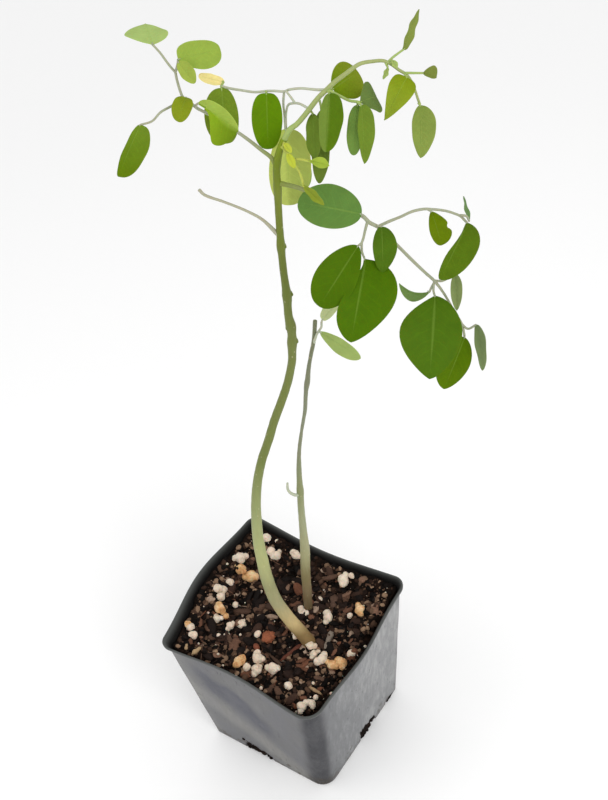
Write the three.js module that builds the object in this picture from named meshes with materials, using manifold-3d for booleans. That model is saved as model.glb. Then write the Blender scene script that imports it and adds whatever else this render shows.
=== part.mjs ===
// A moringa seedling in a square nursery pot.
// Millimetres, +Z up. The origin is the middle of the pot's underside, and the pot's sides lie
// along X and Y. The plant is described in its own frame, turned about Z by PLANT_TURN:
// x to the right, y to the back, z up.

import * as THREE from 'three';
import { mergeVertices } from 'three/addons/utils/BufferGeometryUtils.js';
import Module from 'manifold-3d';

const wasm = await Module();
wasm.setup();

// Pot
const POT_HEIGHT = 100;
const WALL = 1.2;
const FLOOR = 1.6;
const LIP_REACH = 1.6;
const LIP_DEPTH = 2.8;
const LIP_BEVEL = 0.4;
const FOOT_BEVEL = 0.9;
const NOTCH_HEIGHT = 8.5;
const NOTCH_DEPTH = 7;
const NOTCH_REACH = 36;

// Potting mix
const MIX_LEVEL = 90;
const MIX_REACH = 46;
const MIX_GAP = 0.3;
const EDGE_GAP = 1;
const BANK = 7.5;
const BANK_START = 0.62;
const EDGE_ROOM = 12;
const MIX_SEED = 11;
const GRAIN_RISE = 0.1;
const SMALL_GRAIN = 3.5;

// Plant
const PLANT_TURN = THREE.MathUtils.degToRad(41.5);
const JOINT_GAP = 0.3;
const BLADE = 0.6;
const STALK_RADIUS = 0.5;
const LARGE_BLADE = 190;
const LIGHT_HEIGHT = THREE.MathUtils.degToRad(50);
const LIGHT = new THREE.Vector3(0, -Math.cos(LIGHT_HEIGHT), Math.sin(LIGHT_HEIGHT));

const COLOURS = {
  pot: 0x2b2c30,
  mix: 0x2e211a,
  stem: 0x93a460,
  secondStem: 0x9d9a70,
  leaf: 0x5f8f1e,
  paleLeaf: 0xa9bd6c,
  youngLeaf: 0xb4c23a,
};

// The corners of the wall's outside, anticlockwise from above, starting at -Y and +X: [x, y, radius].
const RIM_CORNERS = [[47, -45.3, 8.4], [45.9, 44.2, 4.8], [-46.1, 42, 4.4], [-41.7, -44.6, 3.5]];
const BASE_CORNERS = [[36.4, -35.7, 8], [37.2, 35.6, 3], [-36.6, 35.6, 4], [-37.2, -35.3, 3]];

// How much farther the lip reaches out at each corner, where the thin rim is bent: [x, y].
const LIP_BENDS = [[0, 0], [0, 0], [0, 0], [-2.2, 0.6]];

// Each side of the pot bows as it rises: [how far out, where along the side, how wide].
// The sides run from corner to corner in the same order, starting at +X.
const SIDE_BOWS = [[2.7, 0.45, 0.35], [-3.1, 0.5, 0.8], [5.2, 0.47, 0.55], [-3.5, 0.45, 0.6]];

// A notch at the foot of each side: [middle of the notch along the side, its width].
const NOTCHES = [[5, 14], [0, 15], [2, 15], [-7, 17]];

// Stem and stalk paths: [x, y, z, radius].
const MAIN_STEM = [
  [13, -15.5, 72, 3.2], [12, -15, 82, 3.5], [10.5, -14.5, 90, 3.5], [7, -13.5, 101, 3.4],
  [4, -13, 110.5, 3.3], [-0.5, -11.5, 128, 3.2], [-2, -10, 144, 3.05], [-2, -9, 160, 2.9],
  [-1.5, -8, 175, 2.65], [0, -7, 189.5, 2.45], [2, -6, 203, 2.25], [5, -5.5, 217, 2.1], [9, -5, 230, 2],
  [14, -4.5, 242.5, 1.95], [18.5, -4, 254.5, 1.9], [23.5, -3.5, 266, 1.85], [28, -3, 277.5, 1.75],
  [31.2, -3, 289.5, 1.7], [32.5, -2.5, 298, 1.85], [33.5, -2.5, 307, 1.75], [33.5, -2.5, 316.5, 1.7],
  [34.5, -2, 327.5, 1.7], [35.1, -2, 342, 1.5], [36.8, -1.5, 363.5, 1.45], [39, -1, 384, 1.35],
  [40.5, -0.5, 396, 1.5], [43.5, 0, 404.5, 1.3], [45, 0, 407, 1.2],
];
const BARE_STALK = [
  [36.5, -1.5, 360, 1], [35, -1, 362.5, 0.9], [31, 2, 367.5, 0.6], [26, 5, 370.5, 0.55],
  [18, 9, 374, 0.55], [11, 12, 377, 0.6], [9.5, 12, 380, 0.7],
];
const SECOND_STEM = [
  [13, 4.5, 74, 2], [13.5, 4.5, 90, 2.2], [15, 4.5, 107.5, 2.3], [16.5, 4.5, 125, 2.4],
  [18.5, 4.5, 142, 2.4], [19.7, 4.5, 158, 1.85], [21, 5, 174, 1.65], [22.5, 5, 189.5, 1.5],
  [24, 5, 204.5, 1.2], [26, 5, 218.5, 0.9], [29, 5.5, 232, 0.75], [32.2, 5.5, 245, 0.85],
  [34.5, 6, 258, 1], [36, 6, 264.5, 1.1], [37.5, 6, 272, 0.9], [39.5, 6, 280, 0.85],
  [42, 6.5, 288.5, 0.9], [44, 7, 299.5, 0.9],
];
const HOOK = [
  [22.5, 5, 188, 0.9], [20.5, 4, 187.5, 0.8], [18, 3.5, 190.5, 0.7], [17, 3.5, 194, 0.65],
  [17.5, 4, 198, 0.5],
];

const LEFT_STALKS = [
  [
    [40, -0.5, 395.5, 0.9], [39, 1, 398.5, 0.85], [36, 4, 400.5, 0.75], [32.5, 8, 402.5, 0.7],
    [28.5, 11, 405.5, 0.65], [23.5, 14, 409, 0.6], [19, 17, 412, 0.6], [15.5, 19, 414, 0.6],
    [13.5, 21, 415.5, 0.6], [11.5, 22, 417, 0.55], [10.5, 25, 423, 0.5], [10.5, 27, 426, 0.5],
  ],
];
const UPPER_STALKS = [
  [
    [45, 0, 407, 1.1], [47.5, 0.5, 410.5, 1.1], [50.5, 1, 412, 1], [53, 1.5, 414, 1], [56.5, 2, 417.5, 1],
    [60, 2.5, 421, 0.95], [63.5, 3, 423.5, 0.95], [67, 4, 425.5, 0.9], [71, 4.5, 427.5, 0.85],
    [74, 5, 429, 0.8], [77, 5.5, 430, 0.75], [81.5, 6, 429.5, 0.7], [85.5, 5, 429.5, 0.65],
    [88, 4, 428, 0.6], [90.5, 3, 425.5, 0.6], [92.5, 2, 424, 0.6], [94, 1, 421.5, 0.5],
    [95, 0, 417.5, 0.5], [95.5, -1, 414.5, 0.5], [96, -2, 412, 0.5],
  ],
  [
    [63, 3, 423.5, 0.6], [60.5, 5, 422.5, 0.55], [57.5, 7, 422, 0.5], [54.5, 9, 421.5, 0.5],
    [50.5, 12, 419.5, 0.5], [48.5, 14, 417.5, 0.5], [45, 16, 417, 0.5], [42.5, 18, 416, 0.5],
    [38, 20, 415, 0.5], [32.5, 23, 415, 0.5], [28.5, 26, 414.5, 0.5], [26, 28, 414.5, 0.5],
  ],
  [
    [63.5, 3, 423.5, 0.6], [65.5, 0.5, 423.5, 0.6], [67.5, -2, 423.5, 0.55], [70.5, -5, 423, 0.55],
    [73, -7, 423.5, 0.5],
  ],
  [[51.5, 8, 416, 0.5], [50.4, 10, 417.5, 0.45], [49, 12, 419.5, 0.4]],
];
const LOWER_STALKS = [
  [
    [39.5, -1, 387.5, 1], [47.5, -4, 385, 0.85], [54, -7, 381, 0.8], [62.5, -11, 376.5, 0.8],
    [68.5, -14, 374, 0.8], [70.5, -16, 372, 0.8], [73.5, -18, 370.5, 0.75], [79, -23, 364.5, 0.65],
    [83, -27, 360, 0.65], [87.5, -31, 355, 0.6], [90.5, -33, 351.5, 0.6], [92, -35, 349.5, 0.55],
    [94, -36, 344.5, 0.5], [96.5, -38, 337, 0.5], [98.5, -39, 331.5, 0.5], [99, -40, 328, 0.5],
    [99, -41, 326.5, 0.5],
  ],
  [
    [73.5, -18, 371, 0.6], [78, -19, 373.5, 0.6], [82, -20, 375.5, 0.55], [86.5, -21, 378, 0.55],
    [91, -21.5, 378.5, 0.55], [94, -22, 378, 0.5], [98.5, -22.5, 376.5, 0.5], [102, -23, 374.5, 0.5],
    [104, -24, 373.5, 0.5], [105.5, -25, 371.5, 0.5],
  ],
  [[70, -15.5, 372.5, 0.6], [68.5, -18, 371, 0.55], [67, -21, 369.5, 0.5], [66, -22, 368, 0.5]],
];
const YOUNG_STALKS = [
  [
    [43.5, -0.5, 404.5, 0.8], [44.5, -3, 404.5, 0.6], [46, -6, 401.5, 0.5], [48, -9, 398, 0.5],
    [48.5, -11, 393.5, 0.5],
  ],
];
const SECOND_SHOOT_STALKS = [
  [
    [41.5, 6.5, 286, 0.7], [42.5, 5.5, 290, 0.6], [44, 5, 294, 0.5], [46, 5, 297, 0.5],
    [46.5, 5.5, 299.5, 0.5],
  ],
];

// Leaflets. stalk runs from the stalk that carries the leaflet to its base, and the blade from there
// to its tip. left and right are the two halves: [width, where it is widest, fullness of the curve] and,
// where that differs, the fullness towards the tip.
// roll turns the blade about its length, bow arches it, and fold lifts each half, in degrees.
const LEFT_LEAFLETS = [
  { stalk: [[10.5, 27, 426], [9, 28, 428.5], [6.5, 31, 433], [4.5, 32, 436.5]], tip: [3, 45.5, 436.2],
    left: [9, 0.52, 0.95], right: [7, 0.36, 1], roll: 14, bow: 0.5, fold: [4, 4] },
  { stalk: [[10.5, 27, 426], [12, 27, 429.5], [12.5, 27, 431.5]], tip: [28.5, 30, 429.5],
    left: [5.3, 0.34, 0.33], right: [6.4, 0.6, 0.4], roll: 0, bow: 1, fold: [12, 12] },
  { stalk: [[10.5, 27, 426], [12, 26, 429.5], [12.5, 25.5, 431.5]], tip: [17, 18.5, 426],
    left: [3.6, 0.5, 0.5], right: [2.6, 0.5, 0.5], roll: 25, bow: 1, fold: [15, 15] },
  { stalk: [[11.5, 22, 417], [12.5, 20, 419]], tip: [8, 12, 415],
    left: [3.8, 0.45, 0.35], right: [4.1, 0.5, 0.35], roll: 0, bow: 2, fold: [15, 20] },
  { stalk: [[11, 22, 417], [6.5, 20, 416.5], [2, 17, 417], [-1.5, 15, 415.5], [-6, 13, 416.5]],
    tip: [-17.5, -2.5, 407.5],
    left: [8.3, 0.52, 0.34], right: [2.1, 0.5, 0.36], roll: 20, bow: 2, fold: [10, 10] },
  { stalk: [[15.5, 19, 414], [15.5, 17, 417], [16.5, 16, 418.5]], tip: [29, 4.5, 411.5],
    left: [6.3, 0.5, 0.5], right: [9.6, 0.76, 1.1, 0.35], roll: 0, bow: 2, fold: [60, 5] },
];
const UPPER_LEAFLETS = [
  { stalk: [[48.5, 14, 417.5], [47.5, 15, 411.5], [47, 16, 404], [46.5, 16, 398]], tip: [42.5, 7.5, 367],
    left: [9.2, 0.4, 0.4], right: [7.3, 0.55, 0.4], roll: 0, bow: 3, fold: [8, 8] },
  { stalk: [
      [56, 2, 417], [53, 6, 417], [51.5, 8, 416], [49.2, 11, 413.5], [48, 13.5, 408.5], [47.4, 16.5, 402.5],
      [47, 20, 395],
    ],
    tip: [49.5, 6.5, 374.5],
    left: [5.2, 0.6, 0.5], right: [3.1, 0.5, 0.5], roll: 20, bow: 2, fold: [8, 8] },
  { stalk: [[42, 18, 416], [42, 17, 416]], tip: [38.5, 6.5, 398.2],
    left: [5.8, 0.42, 0.36], right: [5.8, 0.42, 0.36], roll: 0, bow: 2, fold: [8, 8] },
  { stalk: [[26, 28, 414.5], [26, 27, 414.5]], tip: [23.5, 14.5, 398],
    left: [5.6, 0.52, 0.35], right: [7.4, 0.5, 0.35], roll: 0, bow: 1, fold: [8, 8] },
  { stalk: [[26, 28, 414.5], [27.3, 29, 415.5]], tip: [18.5, 32.5, 418],
    left: [2.1, 0.5, 0.35], right: [1.9, 0.5, 0.35], roll: 0, bow: -1, fold: [-10, 15] },
  { stalk: [[56, 2, 417], [57, 2, 414.5]], tip: [54.5, -8.5, 402.5],
    left: [4.5, 0.45, 0.45], right: [3.6, 0.5, 0.45], roll: 45, bow: 2, fold: [10, 10] },
  { stalk: [[60, 2.5, 421], [60.5, 5, 416], [60.5, 7, 411]], tip: [54.5, -12, 393],
    left: [5.2, 0.5, 0.5], right: [3.7, 0.5, 0.5], roll: 35, bow: 2, fold: [10, 10] },
  { stalk: [[63.5, 3, 423.5], [64, 0.5, 423.5]], tip: [58.5, -16.5, 411.5],
    left: [6.8, 0.46, 0.4], right: [3.3, 0.5, 0.4], roll: 25, bow: 3, fold: [12, 12] },
  { stalk: [[63.5, 3, 423.5], [65, 7, 419.5], [66, 9, 418]], tip: [76.5, 12.5, 420.5],
    left: [6.7, 0.6, 0.42], right: [8.2, 0.55, 0.42], roll: 0, bow: 1, fold: [10, 10] },
  { stalk: [[73, -7, 423.5], [74, -7.5, 423.5]], tip: [80.5, -2, 419.5],
    left: [6.2, 0.62, 0.5], right: [6.2, 0.62, 0.5], roll: 0, bow: 1, fold: [8, 8] },
  { stalk: [[73, -7, 423.5], [73, -6.5, 421.5]], tip: [68, -19.5, 410],
    left: [3.3, 0.5, 0.4], right: [3.3, 0.48, 0.4], roll: 20, bow: 2, fold: [10, 10] },
  { stalk: [[73, -7, 423.5], [74, -9, 423.5]], tip: [71, -25, 410],
    left: [5.4, 0.38, 0.6], right: [1.8, 0.5, 0.6], roll: 25, bow: 2, fold: [12, 12] },
  { stalk: [[87, 4.5, 429], [88.5, 5.5, 429.5], [90.5, 7, 429.5], [93.5, 9, 429.5]], tip: [102, 19, 438],
    left: [2.2, 0.35, 0.7], right: [3.5, 0.35, 0.7], roll: 62, bow: 2, fold: [12, 12], sweep: -1 },
  { stalk: [[86, 4.5, 429], [86.5, 3.5, 427.5]], tip: [84, 0.5, 425],
    left: [1.7, 0.5, 0.6], right: [0.8, 0.5, 0.6], roll: 40, bow: 0, fold: [10, 10] },
  { stalk: [[87.5, 4, 428.5], [88.5, 3, 430.5]], tip: [89.5, 1, 428.5],
    left: [1.2, 0.5, 0.5], right: [1.1, 0.5, 0.5], roll: 20, bow: 0, fold: [10, 10] },
  { stalk: [[92.5, 2, 424.5], [95.5, 1, 424.5], [98.5, 0, 424.5]], tip: [103, -1, 422],
    left: [3.7, 0.6, 0.5], right: [1.1, 0.5, 0.5], roll: 0, bow: 1, fold: [10, 10] },
  { stalk: [[92, 2, 424.5], [92.5, 0, 424]], tip: [81.5, -10.5, 415.5],
    left: [5.2, 0.25, 0.7], right: [4.7, 0.25, 0.55, 0.9], roll: 0, bow: 3, fold: [12, 12] },
  { stalk: [[95.5, -2, 413], [96, -2.5, 412]], tip: [92.5, -16, 399],
    left: [6.1, 0.4, 0.6], right: [3.3, 0.45, 0.6], roll: 15, bow: 2, fold: [12, 12] },
];
const LOWER_LEAFLETS = [
  { stalk: [[68.5, -14, 374], [68, -16, 377]], tip: [45.5, -7, 381],
    left: [7.9, 0.5, 0.45], right: [8.9, 0.5, 0.45], roll: 0, bow: 2, fold: [6, 6] },
  { stalk: [[92, -21.5, 378.5], [93.5, -22.5, 377.5]], tip: [94.5, -33, 369.5],
    left: [5, 0.66, 0.45], right: [3, 0.6, 0.45], roll: 0, bow: 2, fold: [10, 10] },
  { stalk: [[105.5, -25, 371.5], [106, -26, 371.5]], tip: [91.5, -41.5, 360.5],
    left: [9, 0.42, 0.5, 0.45], right: [2, 0.72, 0.9, 0.5], roll: 15, bow: 3, fold: [14, 14] },
  { stalk: [[104, -24, 374], [106, -25, 374], [107, -25, 371]], tip: [107, -16.5, 376],
    left: [2.7, 0.4, 0.7], right: [1.5, 0.4, 0.7], roll: 60, bow: 0, fold: [10, 10] },
  { stalk: [[73, -18, 371.5], [74.5, -19, 371.5]], tip: [71.5, -32.5, 361],
    left: [5.8, 0.48, 0.5, 0.7], right: [3.6, 0.48, 0.5], roll: 10, bow: 3, fold: [10, 10] },
  { stalk: [[66, -22, 368], [64.5, -23, 368]], tip: [45.5, -38, 355.5],
    left: [7.6, 0.6, 0.45], right: [8.4, 0.58, 0.42], roll: 0, bow: 2, fold: [6, 6] },
  { stalk: [[66, -22, 368], [65.5, -24, 365.5], [66, -26, 363.5]], tip: [54.5, -50, 345.5],
    left: [14.2, 0.38, 0.5, 0.72], right: [7.2, 0.68, 0.85, 0.6], roll: 0, bow: 3, fold: [6, 6] },
  { stalk: [[90.5, -33, 351.5], [93.5, -34, 351.5], [98.5, -33.5, 353.5]], tip: [96.5, -44, 344.5],
    left: [2.8, 0.4, 0.6], right: [2.8, 0.5, 0.6], roll: 0, bow: 2, fold: [35, 35] },
  { stalk: [[90.5, -33, 350.5], [89, -34, 349], [88, -35, 348]], tip: [77.5, -29.5, 350],
    left: [3.3, 0.5, 0.55], right: [0.8, 0.5, 0.5], roll: 0, bow: -2, fold: [20, 20], sweep: -2.2 },
  { stalk: [[90.5, -33, 351.5], [89.5, -35.5, 349], [89.5, -38, 348.5]], tip: [81, -62, 329.5],
    left: [11.1, 0.45, 0.62], right: [12.8, 0.47, 1, 0.8], roll: 0, bow: 3, fold: [5, 5] },
  { stalk: [[99, -41, 326.5], [99, -41, 325]], tip: [87, -55, 313.5],
    left: [5.9, 0.45, 0.65], right: [7.1, 0.5, 0.5], roll: 0, bow: 2, fold: [8, 8] },
  { stalk: [[98.5, -39, 331], [100.5, -41, 329.5], [103.8, -42, 332]], tip: [102.5, -56.5, 321.5],
    left: [4.6, 0.45, 0.5], right: [2, 0.45, 0.5], roll: 50, bow: 2, fold: [12, 12] },
];
const YOUNG_LEAFLETS = [
  { stalk: [[44.5, -3, 404.5], [45, -6, 405.5]], tip: [46.5, -10.5, 401.5],
    left: [1.5, 0.5, 0.6], right: [1.5, 0.5, 0.6], roll: 0, bow: 0, fold: [15, 15] },
  { stalk: [[44, -1.5, 405], [44.5, -3, 408]], tip: [46.5, -7, 406],
    left: [1.3, 0.5, 0.6], right: [1.1, 0.5, 0.6], roll: 0, bow: 0, fold: [15, 15] },
  { stalk: [[46, -6, 401.5], [49, -9, 404], [52, -11, 404]], tip: [59, -13.5, 402],
    left: [2.4, 0.6, 0.8], right: [2.3, 0.6, 0.7], roll: 0, bow: 2, fold: [30, 30] },
  { stalk: [[48.5, -11, 393.5], [48.5, -12, 393.5]], tip: [54.5, -18.5, 388],
    left: [2.8, 0.5, 0.6], right: [1.8, 0.5, 0.6], roll: 45, bow: 1, fold: [20, 20] },
];
const SECOND_SHOOT_LEAFLETS = [
  { stalk: [[46.5, 5.5, 299.5], [47, 6, 300.3]], tip: [56, 12, 304],
    left: [3.4, 0.45, 0.4], right: [2.2, 0.45, 0.4], roll: 15, bow: 1, fold: [10, 10] },
  { stalk: [[44, 5, 294], [45, 4.5, 295]], tip: [59.5, -8.5, 288],
    left: [2.8, 0.55, 0.5], right: [3.8, 0.6, 0.5], roll: 15, bow: 1, fold: [10, 10] },
];

// What lies in and on the potting mix: [x, y, size] in the plant's frame.
const PERLITE = [
  [-47, 4, 4], [-46.5, -0.5, 4], [-16.5, 40, 6], [-24, 27.5, 4], [-30.5, 24, 4], [-30, 20.5, 4],
  [-27.5, 24, 3.5], [-33.5, 9, 4.5], [-27.5, 3.5, 4.5], [-21.5, 4, 5], [-34, -1.5, 3], [-30, -1.5, 3],
  [2.5, 38, 5], [0, 41.5, 4], [-1, 48.5, 4], [12.5, 33.5, 5], [34, 13.5, 6.5], [38.5, 14, 3],
  [10, 2, 5], [22.5, -4, 6], [33.5, -5.5, 3], [30.5, -26.5, 4], [11, -18, 5], [12, -22.5, 4.5],
  [15.5, -27, 6], [-3.5, -38, 3.5], [1.5, -51.5, 6], [6.5, -50.5, 4.5], [-22.5, -22.5, 3.5],
  [-16, -19, 6], [-18, -24.5, 6], [-9.5, -26.5, 6], [-14, -5, 3.5], [-23, 16, 3],
];
const GOLDEN_GRAINS = [
  [-17.5, 34.5, 6.5], [-13, 30.5, 6.5], [-31.5, 13.5, 6], [39, -5, 6], [20, -30.5, 6], [-25.5, -19, 6],
  [24.5, -31, 6],
];
// Bark and wood: [x, y, length, width, thickness, turn in degrees].
const BARK = [
  [-9, -8, 7.5, 6.5, 4, 20], [-7, -2, 5, 4, 3, 70], [-16, -12, 6, 3, 2.5, 100], [-27, -9, 9, 6, 3, 60],
  [-46, -11, 6, 2.5, 2, 35], [23, 18.5, 4, 2, 2, 40], [9, -43, 9, 1.8, 2, 134], [1, -19, 14, 2, 2, 30],
  [-8, -20.5, 15, 1.8, 2, 121], [27, 6, 8, 4, 2.5, 70], [-5, 10, 8, 4, 3, 140],
  [21, -15, 13.5, 3, 2.4, 61], [15, 26, 8, 4, 2.5, 15], [-12, 40, 7, 3, 2.5, 110],
  [-27, -30, 7, 3, 2.5, 45],
];

function seededRandom(seed) {
  let state = seed;
  return () => {
    state = (state * 16807) % 2147483647;
    return state / 2147483647;
  };
}

function toSolid(geometry) {
  const bare = geometry.clone();
  bare.deleteAttribute('normal');
  bare.deleteAttribute('uv');
  const merged = mergeVertices(bare, 1e-4);
  const solid = new wasm.Manifold(new wasm.Mesh({
    numProp: 3,
    vertProperties: new Float32Array(merged.attributes.position.array),
    triVerts: new Uint32Array(merged.index.array),
  }));
  return solid;
}

function toMesh(solid, name, colour, roughness) {
  const { vertProperties, triVerts, numProp } = solid.getMesh();
  const geometry = new THREE.BufferGeometry();
  const positions = new Float32Array((vertProperties.length / numProp) * 3);
  for (let i = 0; i < positions.length / 3; i += 1) {
    positions.set(vertProperties.slice(i * numProp, i * numProp + 3), i * 3);
  }
  geometry.setAttribute('position', new THREE.BufferAttribute(positions, 3));
  geometry.setIndex(new THREE.BufferAttribute(new Uint32Array(triVerts), 1));
  const look = { color: colour, roughness, metalness: 0, flatShading: true };
  const mesh = new THREE.Mesh(geometry, new THREE.MeshStandardMaterial(look));
  mesh.name = name;
  return mesh;
}

// Join solids two by two, so that the unions stay small.
function joined(solids) {
  let list = solids;
  while (list.length > 1) {
    const next = [];
    for (let i = 0; i < list.length; i += 2) {
      next.push(i + 1 < list.length ? list[i].add(list[i + 1]) : list[i]);
    }
    list = next;
  }
  return list[0];
}

function meshFrom(rows, triangles) {
  const geometry = new THREE.BufferGeometry();
  geometry.setAttribute('position', new THREE.BufferAttribute(new Float32Array(rows.flat()), 3));
  geometry.setIndex(triangles);
  return geometry;
}

// Rings of equal point counts, stacked from the first to the last and closed at both ends.
// The rings run anticlockwise seen from the last ring's side.
function ringStack(rings, bottom, top) {
  const count = rings[0].length;
  const points = rings.flat();
  const triangles = [];
  for (let k = 0; k < rings.length - 1; k += 1) {
    for (let i = 0; i < count; i += 1) {
      const a = k * count + i;
      const b = k * count + ((i + 1) % count);
      triangles.push(a, b, b + count, a, b + count, a + count);
    }
  }
  const first = points.length;
  points.push(bottom, top);
  const last = (rings.length - 1) * count;
  for (let i = 0; i < count; i += 1) {
    const j = (i + 1) % count;
    triangles.push(first, j, i, first + 1, last + i, last + j);
  }
  return meshFrom(points, triangles);
}

// A tapered round stem along [x, y, z, radius] points.
function stemGeometry(path, sides, steps, extra = 0) {
  const places = path.map((point) => new THREE.Vector3(...point.slice(0, 3)));
  const curve = new THREE.CatmullRomCurve3(places, false, 'centripetal');
  const rings = [];
  const ends = [];
  let side = new THREE.Vector3(1, 0, 0);
  for (let k = 0; k <= steps; k += 1) {
    const t = k / steps;
    const centre = curve.getPoint(t);
    const along = curve.getTangent(t);
    side = side.clone().addScaledVector(along, -side.dot(along)).normalize();
    const other = along.clone().cross(side);
    const place = t * (path.length - 1);
    const before = Math.min(Math.floor(place), path.length - 2);
    const radius = THREE.MathUtils.lerp(path[before][3], path[before + 1][3], place - before) + extra;
    const ring = [];
    for (let i = 0; i < sides; i += 1) {
      const angle = (i / sides) * Math.PI * 2;
      const point = centre.clone()
        .addScaledVector(side, Math.cos(angle) * radius)
        .addScaledVector(other, Math.sin(angle) * radius);
      ring.push(point.toArray());
    }
    rings.push(ring);
    if (k === 0) ends.push(centre.clone().addScaledVector(along, -radius * 0.4).toArray());
    if (k === steps) ends.push(centre.clone().addScaledVector(along, radius * 0.4).toArray());
  }
  return ringStack(rings, ends[0], ends[1]);
}

function stem(path, sides, steps, extra = 0) {
  return toSolid(stemGeometry(path, sides, steps, extra));
}

// Half-width of a blade at u from base (0) to tip (1).
function halfWidth([width, widest, fullness, towardsTip = fullness], u) {
  const shifted = u ** (Math.log(0.5) / Math.log(widest));
  const power = u < widest ? fullness : towardsTip;
  return Math.max(0.4, width * Math.sin(Math.PI * Math.min(1, shifted)) ** power);
}

function bladeAxes(leaf) {
  const base = new THREE.Vector3(...leaf.stalk.at(-1));
  const tip = new THREE.Vector3(...leaf.tip);
  const along = tip.clone().sub(base);
  const length = along.length();
  along.normalize();
  const arch = LIGHT.clone().addScaledVector(along, -LIGHT.dot(along)).normalize();
  const face = arch.clone().applyAxisAngle(along, THREE.MathUtils.degToRad(leaf.roll));
  const across = along.clone().cross(face);
  return { base, along, arch, face, across, length };
}

// The blade's sections from base to tip. Each is a ring of six points: middle and right edge on top,
// right edge and middle underneath, left edge underneath and on top.
function bladeRings(leaf, axes) {
  const { base, along, arch, face, across, length } = axes;
  const rows = length * (leaf.left[0] + leaf.right[0]) > LARGE_BLADE ? 8 : 6;
  const sections = [];
  for (let k = 0; k <= rows; k += 1) {
    const u = (1 - Math.cos((Math.PI * k) / rows)) / 2;
    const swell = 4 * u * (1 - u);
    sections.push([-1, 0, 1].map((side) => {
      const half = side === 0 ? 0 : halfWidth(side < 0 ? leaf.left : leaf.right, u);
      const lift = THREE.MathUtils.degToRad(side < 0 ? leaf.fold[0] : leaf.fold[1]);
      return base.clone()
        .addScaledVector(along, u * length)
        .addScaledVector(across, side * half * Math.cos(lift) + (leaf.sweep ?? 0) * swell)
        .addScaledVector(face, half * Math.sin(lift))
        .addScaledVector(arch, leaf.bow * swell);
    }));
  }
  return sections.map((section, k) => {
    const before = sections[Math.max(k - 1, 0)];
    const after = sections[Math.min(k + 1, rows)];
    const skin = section.map((point, i) => {
      const wide = section[Math.min(i + 1, 2)].clone().sub(section[Math.max(i - 1, 0)]);
      const normal = wide.cross(after[i].clone().sub(before[i])).normalize();
      if (normal.dot(face) < 0) normal.negate();
      const above = point.clone().addScaledVector(normal, BLADE / 2);
      return [above, above.clone().addScaledVector(normal, -BLADE)];
    });
    const [left, middle, right] = skin;
    return [middle[0], right[0], right[1], middle[1], left[1], left[0]].map((point) => point.toArray());
  });
}

// A leaflet with its stalk, as one body: six-sided rings along the stalk lead into the blade's sections.
function leaflet(leaf) {
  const axes = bladeAxes(leaf);
  const points = leaf.stalk.map((p) => new THREE.Vector3(...p));
  const entry = points.at(-1).clone().add(axes.along);
  const curve = new THREE.CatmullRomCurve3([...points, entry], false, 'centripetal');
  const steps = points.length;
  const rings = [];
  let side = axes.face;
  for (let k = steps - 1; k >= 0; k -= 1) {
    const t = (k / steps) * ((points.length - 0.5) / points.length);
    const centre = curve.getPoint(t);
    const tangent = curve.getTangent(t);
    side = side.clone().addScaledVector(tangent, -side.dot(tangent)).normalize();
    const other = tangent.clone().cross(side);
    const ring = [];
    for (let i = 0; i < 6; i += 1) {
      const angle = (i / 6) * Math.PI * 2;
      ring.push(centre.clone()
        .addScaledVector(side, Math.cos(angle) * STALK_RADIUS)
        .addScaledVector(other, Math.sin(angle) * STALK_RADIUS)
        .toArray());
    }
    rings.unshift(ring);
  }
  rings.push(...bladeRings(leaf, axes));
  return toSolid(ringStack(rings, points[0].toArray(), leaf.tip));
}

function frond(stalks, leaflets) {
  const rods = stalks.map((path) => stem(path, 6, Math.round((path.length - 1) * 1.25)));
  return joined([...rods, ...leaflets.map(leaflet)]);
}

// One ring of the pot, set in from the wall's outside by inset: an arc at each corner, then the side.
function potRing(z, inset) {
  const rise = z / POT_HEIGHT;
  const corners = RIM_CORNERS.map((rim, i) => {
    const [x, y, radius] = rim.map((value, k) => THREE.MathUtils.lerp(BASE_CORNERS[i][k], value, rise));
    const place = new THREE.Vector2(x - Math.sign(x) * inset, y - Math.sign(y) * inset);
    place.addScaledVector(new THREE.Vector2(...LIP_BENDS[i]), Math.max(-inset, 0) / LIP_REACH);
    return { place, radius: Math.max(radius - inset, 1) };
  });
  const arcSteps = 4;
  const sideSteps = 4;
  const points = [];
  corners.forEach(({ place, radius }, i) => {
    const next = corners[(i + 1) % 4];
    const onward = next.place.clone().sub(place).normalize();
    const backward = corners[(i + 3) % 4].place.clone().sub(place).normalize();
    const middle = place.clone().addScaledVector(onward, radius).addScaledVector(backward, radius);
    for (let k = 0; k <= arcSteps; k += 1) {
      const angle = (k / arcSteps) * (Math.PI / 2);
      const point = middle.clone().addScaledVector(onward, -radius * Math.cos(angle));
      points.push(point.addScaledVector(backward, -radius * Math.sin(angle)));
    }
    const [reach, peak, spread] = SIDE_BOWS[i];
    const from = place.clone().addScaledVector(onward, radius);
    const to = next.place.clone().addScaledVector(onward, -next.radius);
    const outward = new THREE.Vector2(onward.y, -onward.x);
    for (let k = 1; k <= sideSteps; k += 1) {
      const t = k / (sideSteps + 1);
      const bow = reach * rise ** 1.5 * Math.sin(Math.PI * t) * Math.exp(-(((t - peak) / spread) ** 2));
      points.push(from.clone().lerp(to, t).addScaledVector(outward, bow));
    }
  });
  return points.map((point) => [point.x, point.y, z]);
}

function ringSolid(levels) {
  const rings = levels.map(([z, inset]) => potRing(z, inset));
  return toSolid(ringStack(rings, [0, 0, levels[0][0]], [0, 0, levels.at(-1)[0]]));
}

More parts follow.
